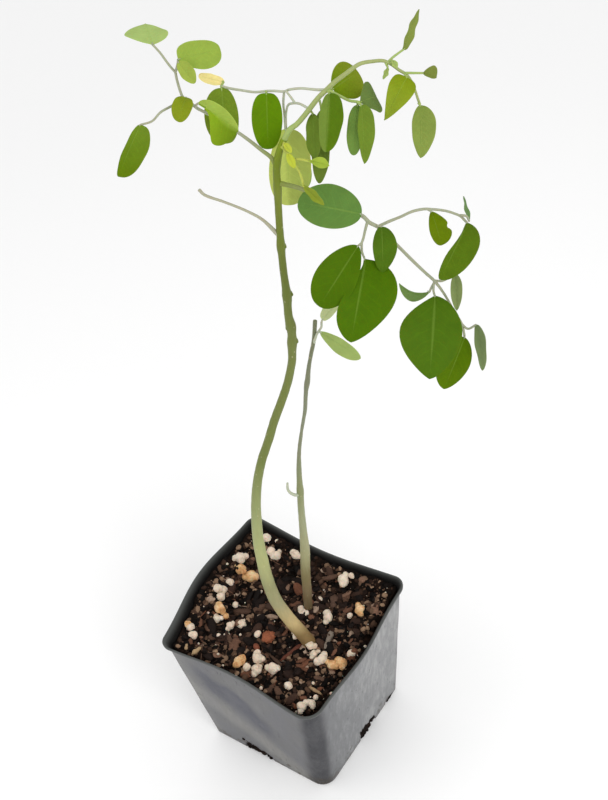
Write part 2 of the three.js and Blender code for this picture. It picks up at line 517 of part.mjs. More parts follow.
function makePot() {
  const mid = POT_HEIGHT * 0.5;
  const high = POT_HEIGHT * 0.8;
  const lipFoot = POT_HEIGHT - LIP_DEPTH;
  const lipEdge = POT_HEIGHT - LIP_BEVEL;
  const wall = ringSolid([[0, FOOT_BEVEL], [FOOT_BEVEL, 0], [mid, 0], [high, 0], [lipEdge, 0]]);
  const lipTop = [POT_HEIGHT, LIP_BEVEL - LIP_REACH];
  const lip = ringSolid([[lipFoot, -LIP_REACH], [lipEdge, -LIP_REACH], lipTop]);
  const lipHollow = ringSolid([[lipFoot - 1, WALL - LIP_REACH], [POT_HEIGHT - WALL, WALL - LIP_REACH]]);
  const inside = ringSolid([[FLOOR, WALL], [mid, WALL], [high, WALL], [POT_HEIGHT + 1, WALL]]);
  let pot = lip.subtract(lipHollow).add(wall).subtract(inside);
  NOTCHES.forEach(([middle, width], side) => {
    const cut = new THREE.BoxGeometry(NOTCH_DEPTH * 2, width, NOTCH_HEIGHT * 2);
    cut.translate(NOTCH_REACH, middle, 0);
    cut.rotateZ((side * Math.PI) / 2);
    pot = pot.subtract(toSolid(cut));
  });
  return pot;
}

function turned(x, y) {
  const cos = Math.cos(PLANT_TURN);
  const sin = Math.sin(PLANT_TURN);
  return [x * cos - y * sin, x * sin + y * cos];
}

// The pot's inner wall at the level of the mix, as [bearing, reach] in order of bearing.
const WALL_LINE = potRing(MIX_LEVEL, WALL + MIX_GAP)
  .map(([x, y]) => [Math.atan2(y, x), Math.hypot(x, y)])
  .sort((a, b) => a[0] - b[0]);

// How far out a point lies, from the middle (0) to the pot's wall (1).
function outwards(x, y) {
  const bearing = Math.atan2(y, x);
  const after = Math.max(WALL_LINE.findIndex(([angle]) => angle > bearing), 0);
  const [start, nearReach] = WALL_LINE.at(after - 1);
  const [stop, farReach] = WALL_LINE[after];
  const fullTurn = Math.PI * 2;
  const share = ((bearing - start + fullTurn) % fullTurn) / ((stop - start + fullTurn) % fullTurn);
  return Math.hypot(x, y) / THREE.MathUtils.lerp(nearReach, farReach, share);
}

// The surface of the mix: swells and lumps, lower at the edge, and banked up against the back walls.
function mixHeight(x, y) {
  const swell = 1.1 * Math.sin(x * 0.13 + 0.8) * Math.cos(y * 0.11 + 0.3);
  const lumps = 0.8 * Math.sin(x * 0.45 + y * 0.22) * Math.sin(y * 0.5 - x * 0.15 + 1.2);
  const edge = Math.max(Math.abs(x), Math.abs(y)) / MIX_REACH;
  const back = y * Math.cos(PLANT_TURN) - x * Math.sin(PLANT_TURN);
  const bank = BANK * THREE.MathUtils.smoothstep(outwards(x, y), BANK_START, 1)
    * THREE.MathUtils.smoothstep(back, -25, -5);
  return MIX_LEVEL + swell + lumps - 1.5 * edge ** 4 + bank;
}

// The mix below its surface, and the lumpy surface itself as rings that close in on the middle.
function makeMixBody() {
  const foot = FLOOR + MIX_GAP;
  const inset = WALL + MIX_GAP;
  const levels = [foot, MIX_LEVEL * 0.5, MIX_LEVEL - 4];
  const rings = levels.map((z) => potRing(z, inset));
  const edge = potRing(MIX_LEVEL, inset);
  const random = seededRandom(MIX_SEED);
  for (const share of [0.995, 0.86, 0.72, 0.58, 0.44, 0.3, 0.15]) {
    rings.push(edge.map(([x, y]) => {
      const jitter = share < 0.9 ? 1.4 * (random() - 0.5) : 0;
      return [x * share, y * share, mixHeight(x * share, y * share) + jitter];
    }));
  }
  return toSolid(ringStack(rings, [0, 0, foot], [0, 0, mixHeight(0, 0)]));
}

// A rough grain: an icosahedron with its corners pushed in and out.
function grain(x, y, size, random) {
  const Shape = size > SMALL_GRAIN ? THREE.IcosahedronGeometry : THREE.OctahedronGeometry;
  const shape = new Shape(size / 2, 0);
  shape.deleteAttribute('normal');
  shape.deleteAttribute('uv');
  const rough = mergeVertices(shape);
  const corners = rough.attributes.position;
  for (let i = 0; i < corners.count; i += 1) {
    const push = 0.85 + 0.35 * random();
    corners.setXYZ(i, corners.getX(i) * push, corners.getY(i) * push, corners.getZ(i) * push);
  }
  rough.rotateZ(random() * Math.PI);
  rough.translate(x, y, mixHeight(x, y) + size * GRAIN_RISE);
  return toSolid(rough);
}

function chip([across, back, length, width, thickness, turn], random) {
  const [x, y] = turned(across, back);
  const shape = new THREE.BoxGeometry(length, width, thickness);
  shape.deleteAttribute('normal');
  shape.deleteAttribute('uv');
  const rough = mergeVertices(shape);
  const corners = rough.attributes.position;
  for (let i = 0; i < corners.count; i += 1) {
    const squeeze = 0.7 + 0.3 * random();
    corners.setXYZ(i, corners.getX(i), corners.getY(i) * squeeze, corners.getZ(i) * squeeze);
  }
  rough.rotateX(0.3 * (random() - 0.5));
  rough.rotateY(0.25 * (random() - 0.5));
  rough.rotateZ(THREE.MathUtils.degToRad(turn) + PLANT_TURN);
  rough.translate(x, y, mixHeight(x, y) + thickness * 0.1);
  return toSolid(rough);
}

// What lies on the mix is trimmed clear of the pot's wall before it joins the body.
function makeMix(holes) {
  const random = seededRandom(MIX_SEED + 1);
  const pieces = [];
  for (const [across, back, size] of [...PERLITE, ...GOLDEN_GRAINS]) {
    pieces.push(grain(...turned(across, back), size, random));
  }
  for (const bark of BARK) {
    pieces.push(chip(bark, random));
  }
  const inset = WALL + EDGE_GAP;
  const room = ringSolid([[MIX_LEVEL - EDGE_ROOM, inset], [MIX_LEVEL + EDGE_ROOM, inset]]);
  return makeMixBody().add(joined(pieces).intersect(room)).subtract(holes);
}

// The stems' holes in the mix, turned with the plant.
function stemHole(path, sides, steps) {
  const hole = stemGeometry(path, sides, steps, JOINT_GAP);
  hole.applyMatrix4(new THREE.Matrix4().makeRotationZ(PLANT_TURN));
  return toSolid(hole);
}

const MAIN_SIDES = 10;
const MAIN_STEPS = 34;
const SECOND_SIDES = 8;
const SECOND_STEPS = 20;

const mainStem = stem(MAIN_STEM, MAIN_SIDES, MAIN_STEPS).add(stem(BARE_STALK, 6, 9));
const mainRoom = stem(MAIN_STEM, MAIN_SIDES, MAIN_STEPS, JOINT_GAP);
const secondStem = stem(SECOND_STEM, SECOND_SIDES, SECOND_STEPS).add(stem(HOOK, 6, 6));
const secondRoom = stem(SECOND_STEM, SECOND_SIDES, SECOND_STEPS, JOINT_GAP);
const mainHole = stemHole(MAIN_STEM, MAIN_SIDES, MAIN_STEPS);
const secondHole = stemHole(SECOND_STEM, SECOND_SIDES, SECOND_STEPS);

const group = new THREE.Group();
group.add(toMesh(makePot(), 'pot', COLOURS.pot, 0.5));
group.add(toMesh(makeMix(mainHole.add(secondHole)), 'potting_mix', COLOURS.mix, 0.95));

const plant = new THREE.Group();
plant.rotation.z = PLANT_TURN;
plant.add(toMesh(mainStem, 'main_stem', COLOURS.stem, 0.6));
plant.add(toMesh(secondStem, 'second_stem', COLOURS.secondStem, 0.7));
const leftLeaf = frond(LEFT_STALKS, LEFT_LEAFLETS).subtract(mainRoom);
const upperLeaf = frond(UPPER_STALKS, UPPER_LEAFLETS).subtract(mainRoom);
const lowerLeaf = frond(LOWER_STALKS, LOWER_LEAFLETS).subtract(mainRoom);
const youngLeaf = frond(YOUNG_STALKS, YOUNG_LEAFLETS).subtract(mainRoom);
const secondShoot = frond(SECOND_SHOOT_STALKS, SECOND_SHOOT_LEAFLETS).subtract(secondRoom);
plant.add(toMesh(leftLeaf, 'leaf_left', COLOURS.leaf, 0.55));
plant.add(toMesh(upperLeaf, 'leaf_upper', COLOURS.leaf, 0.55));
plant.add(toMesh(lowerLeaf, 'leaf_lower_right', COLOURS.leaf, 0.55));
plant.add(toMesh(youngLeaf, 'young_leaf', COLOURS.youngLeaf, 0.5));
plant.add(toMesh(secondShoot, 'second_shoot', COLOURS.paleLeaf, 0.55));
group.add(plant);

export default group;
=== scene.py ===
"""The looks of a young moringa in a square nursery pot.

The lists give millimetres. Everything built from them is in metres. The plant's own frame is turned
about Z from the pot's: x runs to the viewer's right, y away from the viewer and z up.
"""

import math
import random
from typing import NamedTuple

import bpy
import numpy as np
from mathutils import Matrix, Vector, noise


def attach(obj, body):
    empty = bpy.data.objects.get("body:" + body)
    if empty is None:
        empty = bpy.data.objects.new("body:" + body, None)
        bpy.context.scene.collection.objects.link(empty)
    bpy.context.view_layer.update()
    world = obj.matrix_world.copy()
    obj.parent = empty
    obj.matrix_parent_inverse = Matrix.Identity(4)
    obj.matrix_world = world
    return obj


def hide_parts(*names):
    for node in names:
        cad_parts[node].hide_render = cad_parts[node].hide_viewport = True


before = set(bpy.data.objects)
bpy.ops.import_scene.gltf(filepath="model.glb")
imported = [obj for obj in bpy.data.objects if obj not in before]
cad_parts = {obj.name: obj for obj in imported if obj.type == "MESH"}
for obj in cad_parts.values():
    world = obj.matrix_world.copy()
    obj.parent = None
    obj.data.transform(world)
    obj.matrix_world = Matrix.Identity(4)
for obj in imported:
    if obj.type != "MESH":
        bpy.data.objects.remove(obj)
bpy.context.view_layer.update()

MM = 0.001
PLANT_TURN = math.radians(41.5)

# Pot
POT_HEIGHT = 100
WALL = 1.2
FLOOR = 1.6
LIP_REACH = 1.6
LIP_DEPTH = 2.8
NOTCH_DEPTH = 7
NOTCH_REACH = 36

# The corners of the rim and of the base, anticlockwise from the front one: (x, y, radius)
RIM_CORNERS = [(47, -45.3, 8.4), (45.9, 44.2, 4.8), (-46.1, 42, 4.4), (-41.7, -44.6, 3.5)]
BASE_CORNERS = [(36.4, -35.7, 8), (37.2, 35.6, 3), (-36.6, 35.6, 4), (-37.2, -35.3, 3)]

# How much farther the lip reaches out at each corner, where the thin rim is bent: (x, y)
LIP_BENDS = [(0, 0), (0, 0), (0, 0), (-2.2, 0.6)]

# Each side bows as it rises: (how far out, where along the side, how wide), anticlockwise from +X
SIDE_BOWS = [(2.7, 0.45, 0.35), (-3.1, 0.5, 0.8), (5.2, 0.47, 0.55), (-3.5, 0.45, 0.6)]

# Torn notches at the foot: (side, middle along the side, width, height at its near end, at its far end)
NOTCHES = [
    (0, 5, 16, 13, 7), (1, 0, 15, 8.5, 8.5), (2, 2, 15, 8.5, 8.5), (3, -7, 18, 12, 5.5), (0, 26, 7, 3, 2),
]

# Potting mix
MIX_LEVEL = 90
MIX_REACH = 46
MIX_GAP = 0.3
# The bank along the back walls: its height, the share of the way to the wall where it starts, and
# between which distances from the plant frame's x axis it grows
BANK = 8.5
BANK_START = 0.62
BANK_SIDE = (-25, -5)

# Camera: where it stands, in millimetres, and how it is turned, in degrees
CAMERA_PLACE = (341, -336, 824)
CAMERA_AZIMUTH = 41.5
CAMERA_ELEVATION = 49.8
CAMERA_ROLL = 11.6
LENS = 76.5

# The light that the blades turn to, in the plant's frame
LIGHT_HEIGHT = math.radians(50)
LIGHT = np.array([0, -math.cos(LIGHT_HEIGHT), math.sin(LIGHT_HEIGHT)])

# Leaf colours, as seen in daylight
GREYISH = (98, 128, 74)
PALE = (160, 188, 98)
CREAM = (240, 222, 150)
STALK_GREY = (160, 163, 136)
STALK_GREEN = (156, 176, 98)
DRY_STALK = (168, 166, 142)
THIN_STALK = (178, 182, 158)
GREEN_START = (122, 134, 50)

# A blade: half its thickness at the edge, what its middle adds, the groove above its midrib, how far
# the midrib stands out underneath, how wide it is, and how high the waves of its edge are
BLADE_EDGE = 0.04
BLADE_BODY = 0.14
RIB_GROOVE = 0.07
RIB_DEPTH = 0.3
RIB_WIDTH = 0.35
EDGE_WAVE = 0.3


class Leaflet(NamedTuple):
    """A leaflet: its stalk's points, its tip, and its two halves from the stalk to the tip.

    A half is (width, where it is widest, fullness, and fullness past the widest place if another).
    Roll and folds are in degrees, bow and sweep in millimetres. A notch is (place, spread, depth), in
    shares of the length and the width, cut from the left half.
    """

    stalk: list
    tip: tuple
    left: tuple
    right: tuple
    tint: tuple
    roll: float = 0
    bow: float = 0
    fold: tuple = (0, 0)
    sweep: float = 0
    notch: tuple = None
    tip_tint: tuple = None
    left_tint: tuple = None
    stalk_tint: tuple = None


# Stem and stalk paths: (x, y, z, radius)
MAIN_STEM = [
    (13, -15.5, 72, 3.2), (12, -15, 82, 3.5), (10.5, -14.5, 90, 3.5), (7, -13.5, 101, 3.4),
    (4, -13, 110.5, 3.3), (-0.5, -11.5, 128, 3.2), (-2, -10, 144, 3.05), (-2, -9, 160, 2.9),
    (-1.5, -8, 175, 2.65), (0, -7, 189.5, 2.45), (2, -6, 203, 2.25), (5, -5.5, 217, 2.1), (9, -5, 230, 2),
    (14, -4.5, 242.5, 1.95), (18.5, -4, 254.5, 1.9), (23.5, -3.5, 266, 1.85), (28, -3, 277.5, 1.75),
    (31.2, -3, 289.5, 1.7), (32.5, -2.5, 298, 1.85), (33.5, -2.5, 307, 1.75), (33.5, -2.5, 316.5, 1.7),
    (34.5, -2, 327.5, 1.7), (35.1, -2, 342, 1.5), (36.8, -1.5, 363.5, 1.45), (39, -1, 384, 1.35),
    (40.5, -0.5, 396, 1.5), (43.5, 0, 404.5, 1.3), (45, 0, 407, 1.2),
]
BARE_STALK = [
    (36.5, -1.5, 360, 1), (35, -1, 362.5, 0.9), (31, 2, 367.5, 0.6), (26, 5, 370.5, 0.55),
    (18, 9, 374, 0.55), (11, 12, 377, 0.6), (9.5, 12, 380, 0.7),
]
SECOND_STEM = [
    (13, 4.5, 74, 2), (13.5, 4.5, 90, 2.2), (15, 4.5, 107.5, 2.3), (16.5, 4.5, 125, 2.4),
    (18.5, 4.5, 142, 2.4), (19.7, 4.5, 158, 1.85), (21, 5, 174, 1.65), (22.5, 5, 189.5, 1.5),
    (24, 5, 204.5, 1.2), (26, 5, 218.5, 0.9), (29, 5.5, 232, 0.75), (32.2, 5.5, 245, 0.85),
    (34.5, 6, 258, 1), (36, 6, 264.5, 1.1), (37.5, 6, 272, 0.9), (39.5, 6, 280, 0.85),
    (42, 6.5, 288.5, 0.9), (44, 7, 299.5, 0.9),
]
HOOK = [
    (22.5, 5, 188, 0.9), (20.5, 4, 187.5, 0.8), (18, 3.5, 190.5, 0.7), (17, 3.5, 194, 0.65),
    (17.5, 4, 198, 0.5),
]

# Swellings where leaves grew: (height, extra radius, half-length)
MAIN_SWELLINGS = [
    (300, 0.35, 3), (311, 0.3, 3), (327.5, 0.35, 3), (355, 0.3, 3), (309, 0.2, 3), (384, 0.3, 4),
]
SECOND_SWELLINGS = [(262, 0.2, 3), (189, 0.25, 4)]

# The colour of the bark from the soil up: (height, colour)
MAIN_BARK = [
    (88, (127, 100, 62)), (101, (146, 122, 80)), (110, (202, 178, 126)), (128, (158, 152, 113)),
    (144, (146, 145, 103)), (160, (168, 170, 115)), (190, (148, 155, 103)), (230, (107, 117, 54)),
    (298, (107, 116, 52)), (342, (97, 109, 30)), (384, (109, 121, 28)), (396, (103, 118, 7)),
    (407, (125, 145, 7)),
]
SECOND_BARK = [
    (88, (90, 72, 44)), (108, (134, 118, 88)), (125, (135, 125, 87)), (142, (162, 159, 120)),
    (166, (154, 157, 123)), (190, (134, 140, 96)), (218, (125, 129, 102)), (245, (127, 131, 106)),
    (288, (115, 119, 91)),
]

# The stalks of each leaf, the main one first: (x, y, z, radius)
LEFT_STALKS = [
    [
        (40, -0.5, 395.5, 0.9), (39, 1, 398.5, 0.85), (36, 4, 400.5, 0.75), (32.5, 8, 402.5, 0.7),
        (28.5, 11, 405.5, 0.65), (23.5, 14, 409, 0.6), (19, 17, 412, 0.6), (15.5, 19, 414, 0.6),
        (13.5, 21, 415.5, 0.6), (11.5, 22, 417, 0.55), (10.5, 25, 423, 0.5), (10.5, 27, 426, 0.5),
    ],
]
UPPER_STALKS = [
    [
        (45, 0, 407, 1.1), (47.5, 0.5, 410.5, 1.1), (50.5, 1, 412, 1), (53, 1.5, 414, 1),
        (56.5, 2, 417.5, 1), (60, 2.5, 421, 0.95), (63.5, 3, 423.5, 0.95), (67, 4, 425.5, 0.9),
        (71, 4.5, 427.5, 0.85), (74, 5, 429, 0.8), (77, 5.5, 430, 0.75), (81.5, 6, 429.5, 0.7),
        (85.5, 5, 429.5, 0.65), (88, 4, 428, 0.6), (90.5, 3, 425.5, 0.6), (92.5, 2, 424, 0.6),
        (94, 1, 421.5, 0.5), (95, 0, 417.5, 0.5), (95.5, -1, 414.5, 0.5), (96, -2, 412, 0.5),
    ],
    [
        (63, 3, 423.5, 0.6), (60.5, 5, 422.5, 0.55), (57.5, 7, 422, 0.5), (54.5, 9, 421.5, 0.5),
        (50.5, 12, 419.5, 0.5), (48.5, 14, 417.5, 0.5), (45, 16, 417, 0.5), (42.5, 18, 416, 0.5),
        (38, 20, 415, 0.5), (32.5, 23, 415, 0.5), (28.5, 26, 414.5, 0.5), (26, 28, 414.5, 0.5),
    ],
    [
        (63.5, 3, 423.5, 0.6), (65.5, 0.5, 423.5, 0.6), (67.5, -2, 423.5, 0.55), (70.5, -5, 423, 0.55),
        (73, -7, 423.5, 0.5),
    ],
    [(51.5, 8, 416, 0.5), (50.4, 10, 417.5, 0.45), (49, 12, 419.5, 0.4)],
]
LOWER_STALKS = [
    [
        (39.5, -1, 387.5, 1), (47.5, -4, 385, 0.85), (54, -7, 381, 0.8), (62.5, -11, 376.5, 0.8),
        (68.5, -14, 374, 0.8), (70.5, -16, 372, 0.8), (73.5, -18, 370.5, 0.75), (79, -23, 364.5, 0.65),
        (83, -27, 360, 0.65), (87.5, -31, 355, 0.6), (90.5, -33, 351.5, 0.6), (92, -35, 349.5, 0.55),
        (94, -36, 344.5, 0.5), (96.5, -38, 337, 0.5), (98.5, -39, 331.5, 0.5), (99, -40, 328, 0.5),
        (99, -41, 326.5, 0.5),
    ],
    [
        (73.5, -18, 371, 0.6), (78, -19, 373.5, 0.6), (82, -20, 375.5, 0.55), (86.5, -21, 378, 0.55),
        (91, -21.5, 378.5, 0.55), (94, -22, 378, 0.5), (98.5, -22.5, 376.5, 0.5), (102, -23, 374.5, 0.5),
        (104, -24, 373.5, 0.5), (105.5, -25, 371.5, 0.5),
    ],
    [(70, -15.5, 372.5, 0.6), (68.5, -18, 371, 0.55), (67, -21, 369.5, 0.5), (66, -22, 368, 0.5)],
]
YOUNG_STALKS = [
    [
        (43.5, -0.5, 404.5, 0.8), (44.5, -3, 404.5, 0.6), (46, -6, 401.5, 0.5), (48, -9, 398, 0.5),
        (48.5, -11, 393.5, 0.5),
    ],
]
SECOND_SHOOT_STALKS = [
    [
        (41.5, 6.5, 286, 0.7), (42.5, 5.5, 290, 0.6), (44, 5, 294, 0.5), (46, 5, 297, 0.5),
        (46.5, 5.5, 299.5, 0.5),
    ],
]

LEFT_LEAFLETS = [
    Leaflet(stalk=[(10.5, 27, 426), (9, 28, 428.5), (6.5, 31, 433), (4.5, 32, 436.5)],
            tip=(3, 45.5, 436.2), left=(9, 0.52, 0.95), right=(7, 0.36, 1), tint=(160, 183, 106), roll=14,
            bow=0.5, fold=(4, 4)),
    Leaflet(stalk=[(10.5, 27, 426), (12, 27, 429.5), (12.5, 27, 431.5)], tip=(28.5, 30, 429.5),
            left=(5.3, 0.34, 0.33), right=(6.4, 0.6, 0.4), tint=(142, 166, 67), bow=1, fold=(12, 12)),
    Leaflet(stalk=[(10.5, 27, 426), (12, 26, 429.5), (12.5, 25.5, 431.5)], tip=(17, 18.5, 426),
            left=(3.6, 0.5, 0.5), right=(2.6, 0.5, 0.5), tint=(150, 168, 71), roll=25, bow=1,
            fold=(15, 15)),
    Leaflet(stalk=[(11.5, 22, 417), (12.5, 20, 419)], tip=(8, 12, 415), left=(3.8, 0.45, 0.35),
            right=(4.1, 0.5, 0.35), tint=(125, 140, 28), bow=2, fold=(15, 20)),
    Leaflet(stalk=[(11, 22, 417), (6.5, 20, 416.5), (2, 17, 417), (-1.5, 15, 415.5), (-6, 13, 416.5)],
            tip=(-17.5, -2.5, 407.5), left=(8.3, 0.52, 0.34), right=(2.1, 0.5, 0.36), tint=(106, 133, 34),
            roll=20, bow=2, fold=(10, 10), tip_tint=(89, 115, 2)),
    Leaflet(stalk=[(15.5, 19, 414), (15.5, 17, 417), (16.5, 16, 418.5)], tip=(29, 4.5, 411.5),
            left=(6.3, 0.5, 0.5), right=(9.6, 0.76, 1.1, 0.35), tint=(148, 180, 40), bow=2, fold=(60, 5),
            tip_tint=(99, 126, 15), left_tint=(157, 181, 76)),
]
UPPER_LEAFLETS = [
    Leaflet(stalk=[(48.5, 14, 417.5), (47.5, 15, 411.5), (47, 16, 404), (46.5, 16, 398)],
            tip=(42.5, 7.5, 367), left=(9.2, 0.4, 0.4), right=(7.3, 0.55, 0.4), tint=(190, 204, 104),
            bow=3, fold=(8, 8), left_tint=(168, 182, 90), stalk_tint=THIN_STALK),
    Leaflet(stalk=[(56, 2, 417), (53, 6, 417), (51.5, 8, 416), (49.2, 11, 413.5), (48, 13.5, 408.5),
                   (47.4, 16.5, 402.5), (47, 20, 395)],
            tip=(49.5, 6.5, 374.5), left=(5.2, 0.6, 0.5), right=(3.1, 0.5, 0.5), tint=PALE, roll=20,
            bow=2, fold=(8, 8), stalk_tint=THIN_STALK),
    Leaflet(stalk=[(42, 18, 416), (42, 17, 416)], tip=(38.5, 6.5, 398.2), left=(5.8, 0.42, 0.36),
            right=(5.8, 0.42, 0.36), tint=(89, 126, 2), bow=2, fold=(8, 8)),
    Leaflet(stalk=[(26, 28, 414.5), (26, 27, 414.5)], tip=(23.5, 14.5, 398), left=(5.6, 0.52, 0.35),
            right=(7.4, 0.5, 0.35), tint=(108, 132, 36), bow=1, fold=(8, 8)),
    Leaflet(stalk=[(26, 28, 414.5), (27.3, 29, 415.5)], tip=(18.5, 32.5, 418), left=(2.1, 0.5, 0.35),
            right=(1.9, 0.5, 0.35), tint=CREAM, bow=-1, fold=(-10, 15)),
    Leaflet(stalk=[(56, 2, 417), (57, 2, 414.5)], tip=(54.5, -8.5, 402.5), left=(4.5, 0.45, 0.45),
            right=(3.6, 0.5, 0.45), tint=(100, 124, 40), roll=45, bow=2, fold=(10, 10)),
    Leaflet(stalk=[(60, 2.5, 421), (60.5, 5, 416), (60.5, 7, 411)], tip=(54.5, -12, 393),
            left=(5.2, 0.5, 0.5), right=(3.7, 0.5, 0.5), tint=(98, 119, 44), roll=35, bow=2,
            fold=(10, 10)),
    Leaflet(stalk=[(63.5, 3, 423.5), (64, 0.5, 423.5)], tip=(58.5, -16.5, 411.5), left=(6.8, 0.46, 0.4),
            right=(3.3, 0.5, 0.4), tint=(106, 130, 50), roll=25, bow=3, fold=(12, 12),
            left_tint=(82, 112, 13)),
    Leaflet(stalk=[(63.5, 3, 423.5), (65, 7, 419.5), (66, 9, 418)], tip=(76.5, 12.5, 420.5),
            left=(6.7, 0.6, 0.42), right=(8.2, 0.55, 0.42), tint=(105, 132, 8), bow=1, fold=(10, 10),
            tip_tint=(122, 136, 34)),
    Leaflet(stalk=[(73, -7, 423.5), (74, -7.5, 423.5)], tip=(80.5, -2, 419.5), left=(6.2, 0.62, 0.5),
            right=(6.2, 0.62, 0.5), tint=(97, 119, 58), bow=1, fold=(8, 8)),
    Leaflet(stalk=[(73, -7, 423.5), (73, -6.5, 421.5)], tip=(68, -19.5, 410), left=(3.3, 0.5, 0.4),
            right=(3.3, 0.48, 0.4), tint=(103, 133, 59), roll=20, bow=2, fold=(10, 10)),
    Leaflet(stalk=[(73, -7, 423.5), (74, -9, 423.5)], tip=(71, -25, 410), left=(5.4, 0.38, 0.6),
            right=(1.8, 0.5, 0.6), tint=(105, 130, 41), roll=25, bow=2, fold=(12, 12)),
    Leaflet(stalk=[(87, 4.5, 429), (88.5, 5.5, 429.5), (90.5, 7, 429.5), (93.5, 9, 429.5)],
            tip=(102, 19, 438), left=(2.2, 0.35, 0.7), right=(3.5, 0.35, 0.7), tint=(123, 137, 62),
            roll=62, bow=2, fold=(12, 12), sweep=-1),
    Leaflet(stalk=[(86, 4.5, 429), (86.5, 3.5, 427.5)], tip=(84, 0.5, 425), left=(1.7, 0.5, 0.6),
            right=(0.8, 0.5, 0.6), tint=STALK_GREEN, roll=40, fold=(10, 10)),
    Leaflet(stalk=[(87.5, 4, 428.5), (88.5, 3, 430.5)], tip=(89.5, 1, 428.5), left=(1.2, 0.5, 0.5),
            right=(1.1, 0.5, 0.5), tint=STALK_GREEN, roll=20, fold=(10, 10)),
    Leaflet(stalk=[(92.5, 2, 424.5), (95.5, 1, 424.5), (98.5, 0, 424.5)], tip=(103, -1, 422),
            left=(3.7, 0.6, 0.5), right=(1.1, 0.5, 0.5), tint=(113, 125, 55), bow=1, fold=(10, 10)),
    Leaflet(stalk=[(92, 2, 424.5), (92.5, 0, 424)], tip=(81.5, -10.5, 415.5), left=(5.2, 0.25, 0.7),
            right=(4.7, 0.25, 0.55, 0.9), tint=(122, 141, 16), bow=3, fold=(12, 12),
            tip_tint=(136, 154, 46)),
    Leaflet(stalk=[(95.5, -2, 413), (96, -2.5, 412)], tip=(92.5, -16, 399), left=(6.1, 0.4, 0.6),
            right=(3.3, 0.45, 0.6), tint=(131, 149, 70), roll=15, bow=2, fold=(12, 12)),
]
LOWER_LEAFLETS = [
    Leaflet(stalk=[(68.5, -14, 374), (68, -16, 377)], tip=(45.5, -7, 381), left=(7.9, 0.5, 0.45),
            right=(8.9, 0.5, 0.45), tint=(93, 128, 58), bow=2, fold=(6, 6)),
    Leaflet(stalk=[(92, -21.5, 378.5), (93.5, -22.5, 377.5)], tip=(94.5, -33, 369.5),
            left=(5.2, 0.66, 0.42), right=(3, 0.6, 0.45), tint=(93, 115, 2), bow=2, fold=(10, 10),
            notch=(0.56, 0.08, 0.24)),
    Leaflet(stalk=[(105.5, -25, 371.5), (106, -26, 371.5)], tip=(91.5, -41.5, 360.5),
            left=(9, 0.42, 0.5, 0.45), right=(2, 0.72, 0.9, 0.5), tint=(82, 109, 16), roll=15, bow=3,
            fold=(14, 14)),
    Leaflet(stalk=[(104, -24, 374), (106, -25, 374), (107, -25, 371)], tip=(107, -16.5, 376),
            left=(2.7, 0.4, 0.7), right=(1.5, 0.4, 0.7), tint=GREYISH, roll=60, fold=(10, 10)),
    Leaflet(stalk=[(73, -18, 371.5), (74.5, -19, 371.5)], tip=(71.5, -32.5, 361),
            left=(5.8, 0.48, 0.5, 0.7), right=(3.6, 0.48, 0.5), tint=(74, 105, 19), roll=10, bow=3,
            fold=(10, 10)),
    Leaflet(stalk=[(66, -22, 368), (64.5, -23, 368)], tip=(45.5, -38, 355.5), left=(7.6, 0.6, 0.45),
            right=(8.4, 0.58, 0.42), tint=(70, 102, 2), bow=2, fold=(6, 6)),
    Leaflet(stalk=[(66, -22, 368), (65.5, -24, 365.5), (66, -26, 363.5)], tip=(54.5, -50, 345.5),
            left=(14.2, 0.38, 0.5, 0.72), right=(7.2, 0.68, 0.85, 0.6), tint=(70, 104, 2), bow=3,
            fold=(6, 6)),
    Leaflet(stalk=[(90.5, -33, 351.5), (93.5, -34, 351.5), (98.5, -33.5, 353.5)], tip=(96.5, -44, 344.5),
            left=(2.8, 0.4, 0.6), right=(2.8, 0.5, 0.6), tint=(123, 138, 85), bow=2, fold=(35, 35)),
    Leaflet(stalk=[(90.5, -33, 350.5), (89, -34, 349), (88, -35, 348)], tip=(77.5, -29.5, 350),
            left=(3.3, 0.5, 0.55), right=(0.8, 0.5, 0.5), tint=(111, 138, 76), bow=-2, fold=(20, 20),
            sweep=-2.2),
    Leaflet(stalk=[(90.5, -33, 351.5), (89.5, -35.5, 349), (89.5, -38, 348.5)], tip=(81, -62, 329.5),
            left=(11.1, 0.45, 0.62), right=(12.8, 0.47, 1, 0.8), tint=(71, 103, 13), bow=3, fold=(5, 5)),
    Leaflet(stalk=[(99, -41, 326.5), (99, -41, 325)], tip=(87, -55, 313.5), left=(5.9, 0.45, 0.65),
            right=(7.1, 0.5, 0.5), tint=(82, 111, 2), bow=2, fold=(8, 8)),
    Leaflet(stalk=[(98.5, -39, 331), (100.5, -41, 329.5), (103.8, -42, 332)], tip=(102.5, -56.5, 321.5),
            left=(4.6, 0.45, 0.5), right=(2, 0.45, 0.5), tint=(119, 136, 90), roll=50, bow=2,
            fold=(12, 12)),
]
YOUNG_LEAFLETS = [
    Leaflet(stalk=[(44.5, -3, 404.5), (45, -6, 405.5)], tip=(46.5, -10.5, 401.5), left=(1.5, 0.5, 0.6),
            right=(1.5, 0.5, 0.6), tint=(176, 186, 60), fold=(15, 15)),
    Leaflet(stalk=[(44, -1.5, 405), (44.5, -3, 408)], tip=(46.5, -7, 406), left=(1.3, 0.5, 0.6),
            right=(1.1, 0.5, 0.6), tint=(180, 190, 66), fold=(15, 15)),
    Leaflet(stalk=[(46, -6, 401.5), (49, -9, 404), (52, -11, 404)], tip=(59, -13.5, 402),
            left=(2.4, 0.6, 0.8), right=(2.3, 0.6, 0.7), tint=(152, 174, 62), bow=2, fold=(30, 30)),
    Leaflet(stalk=[(48.5, -11, 393.5), (48.5, -12, 393.5)], tip=(54.5, -18.5, 388), left=(2.8, 0.5, 0.6),
            right=(1.8, 0.5, 0.6), tint=(130, 144, 44), roll=45, bow=1, fold=(20, 20)),
]
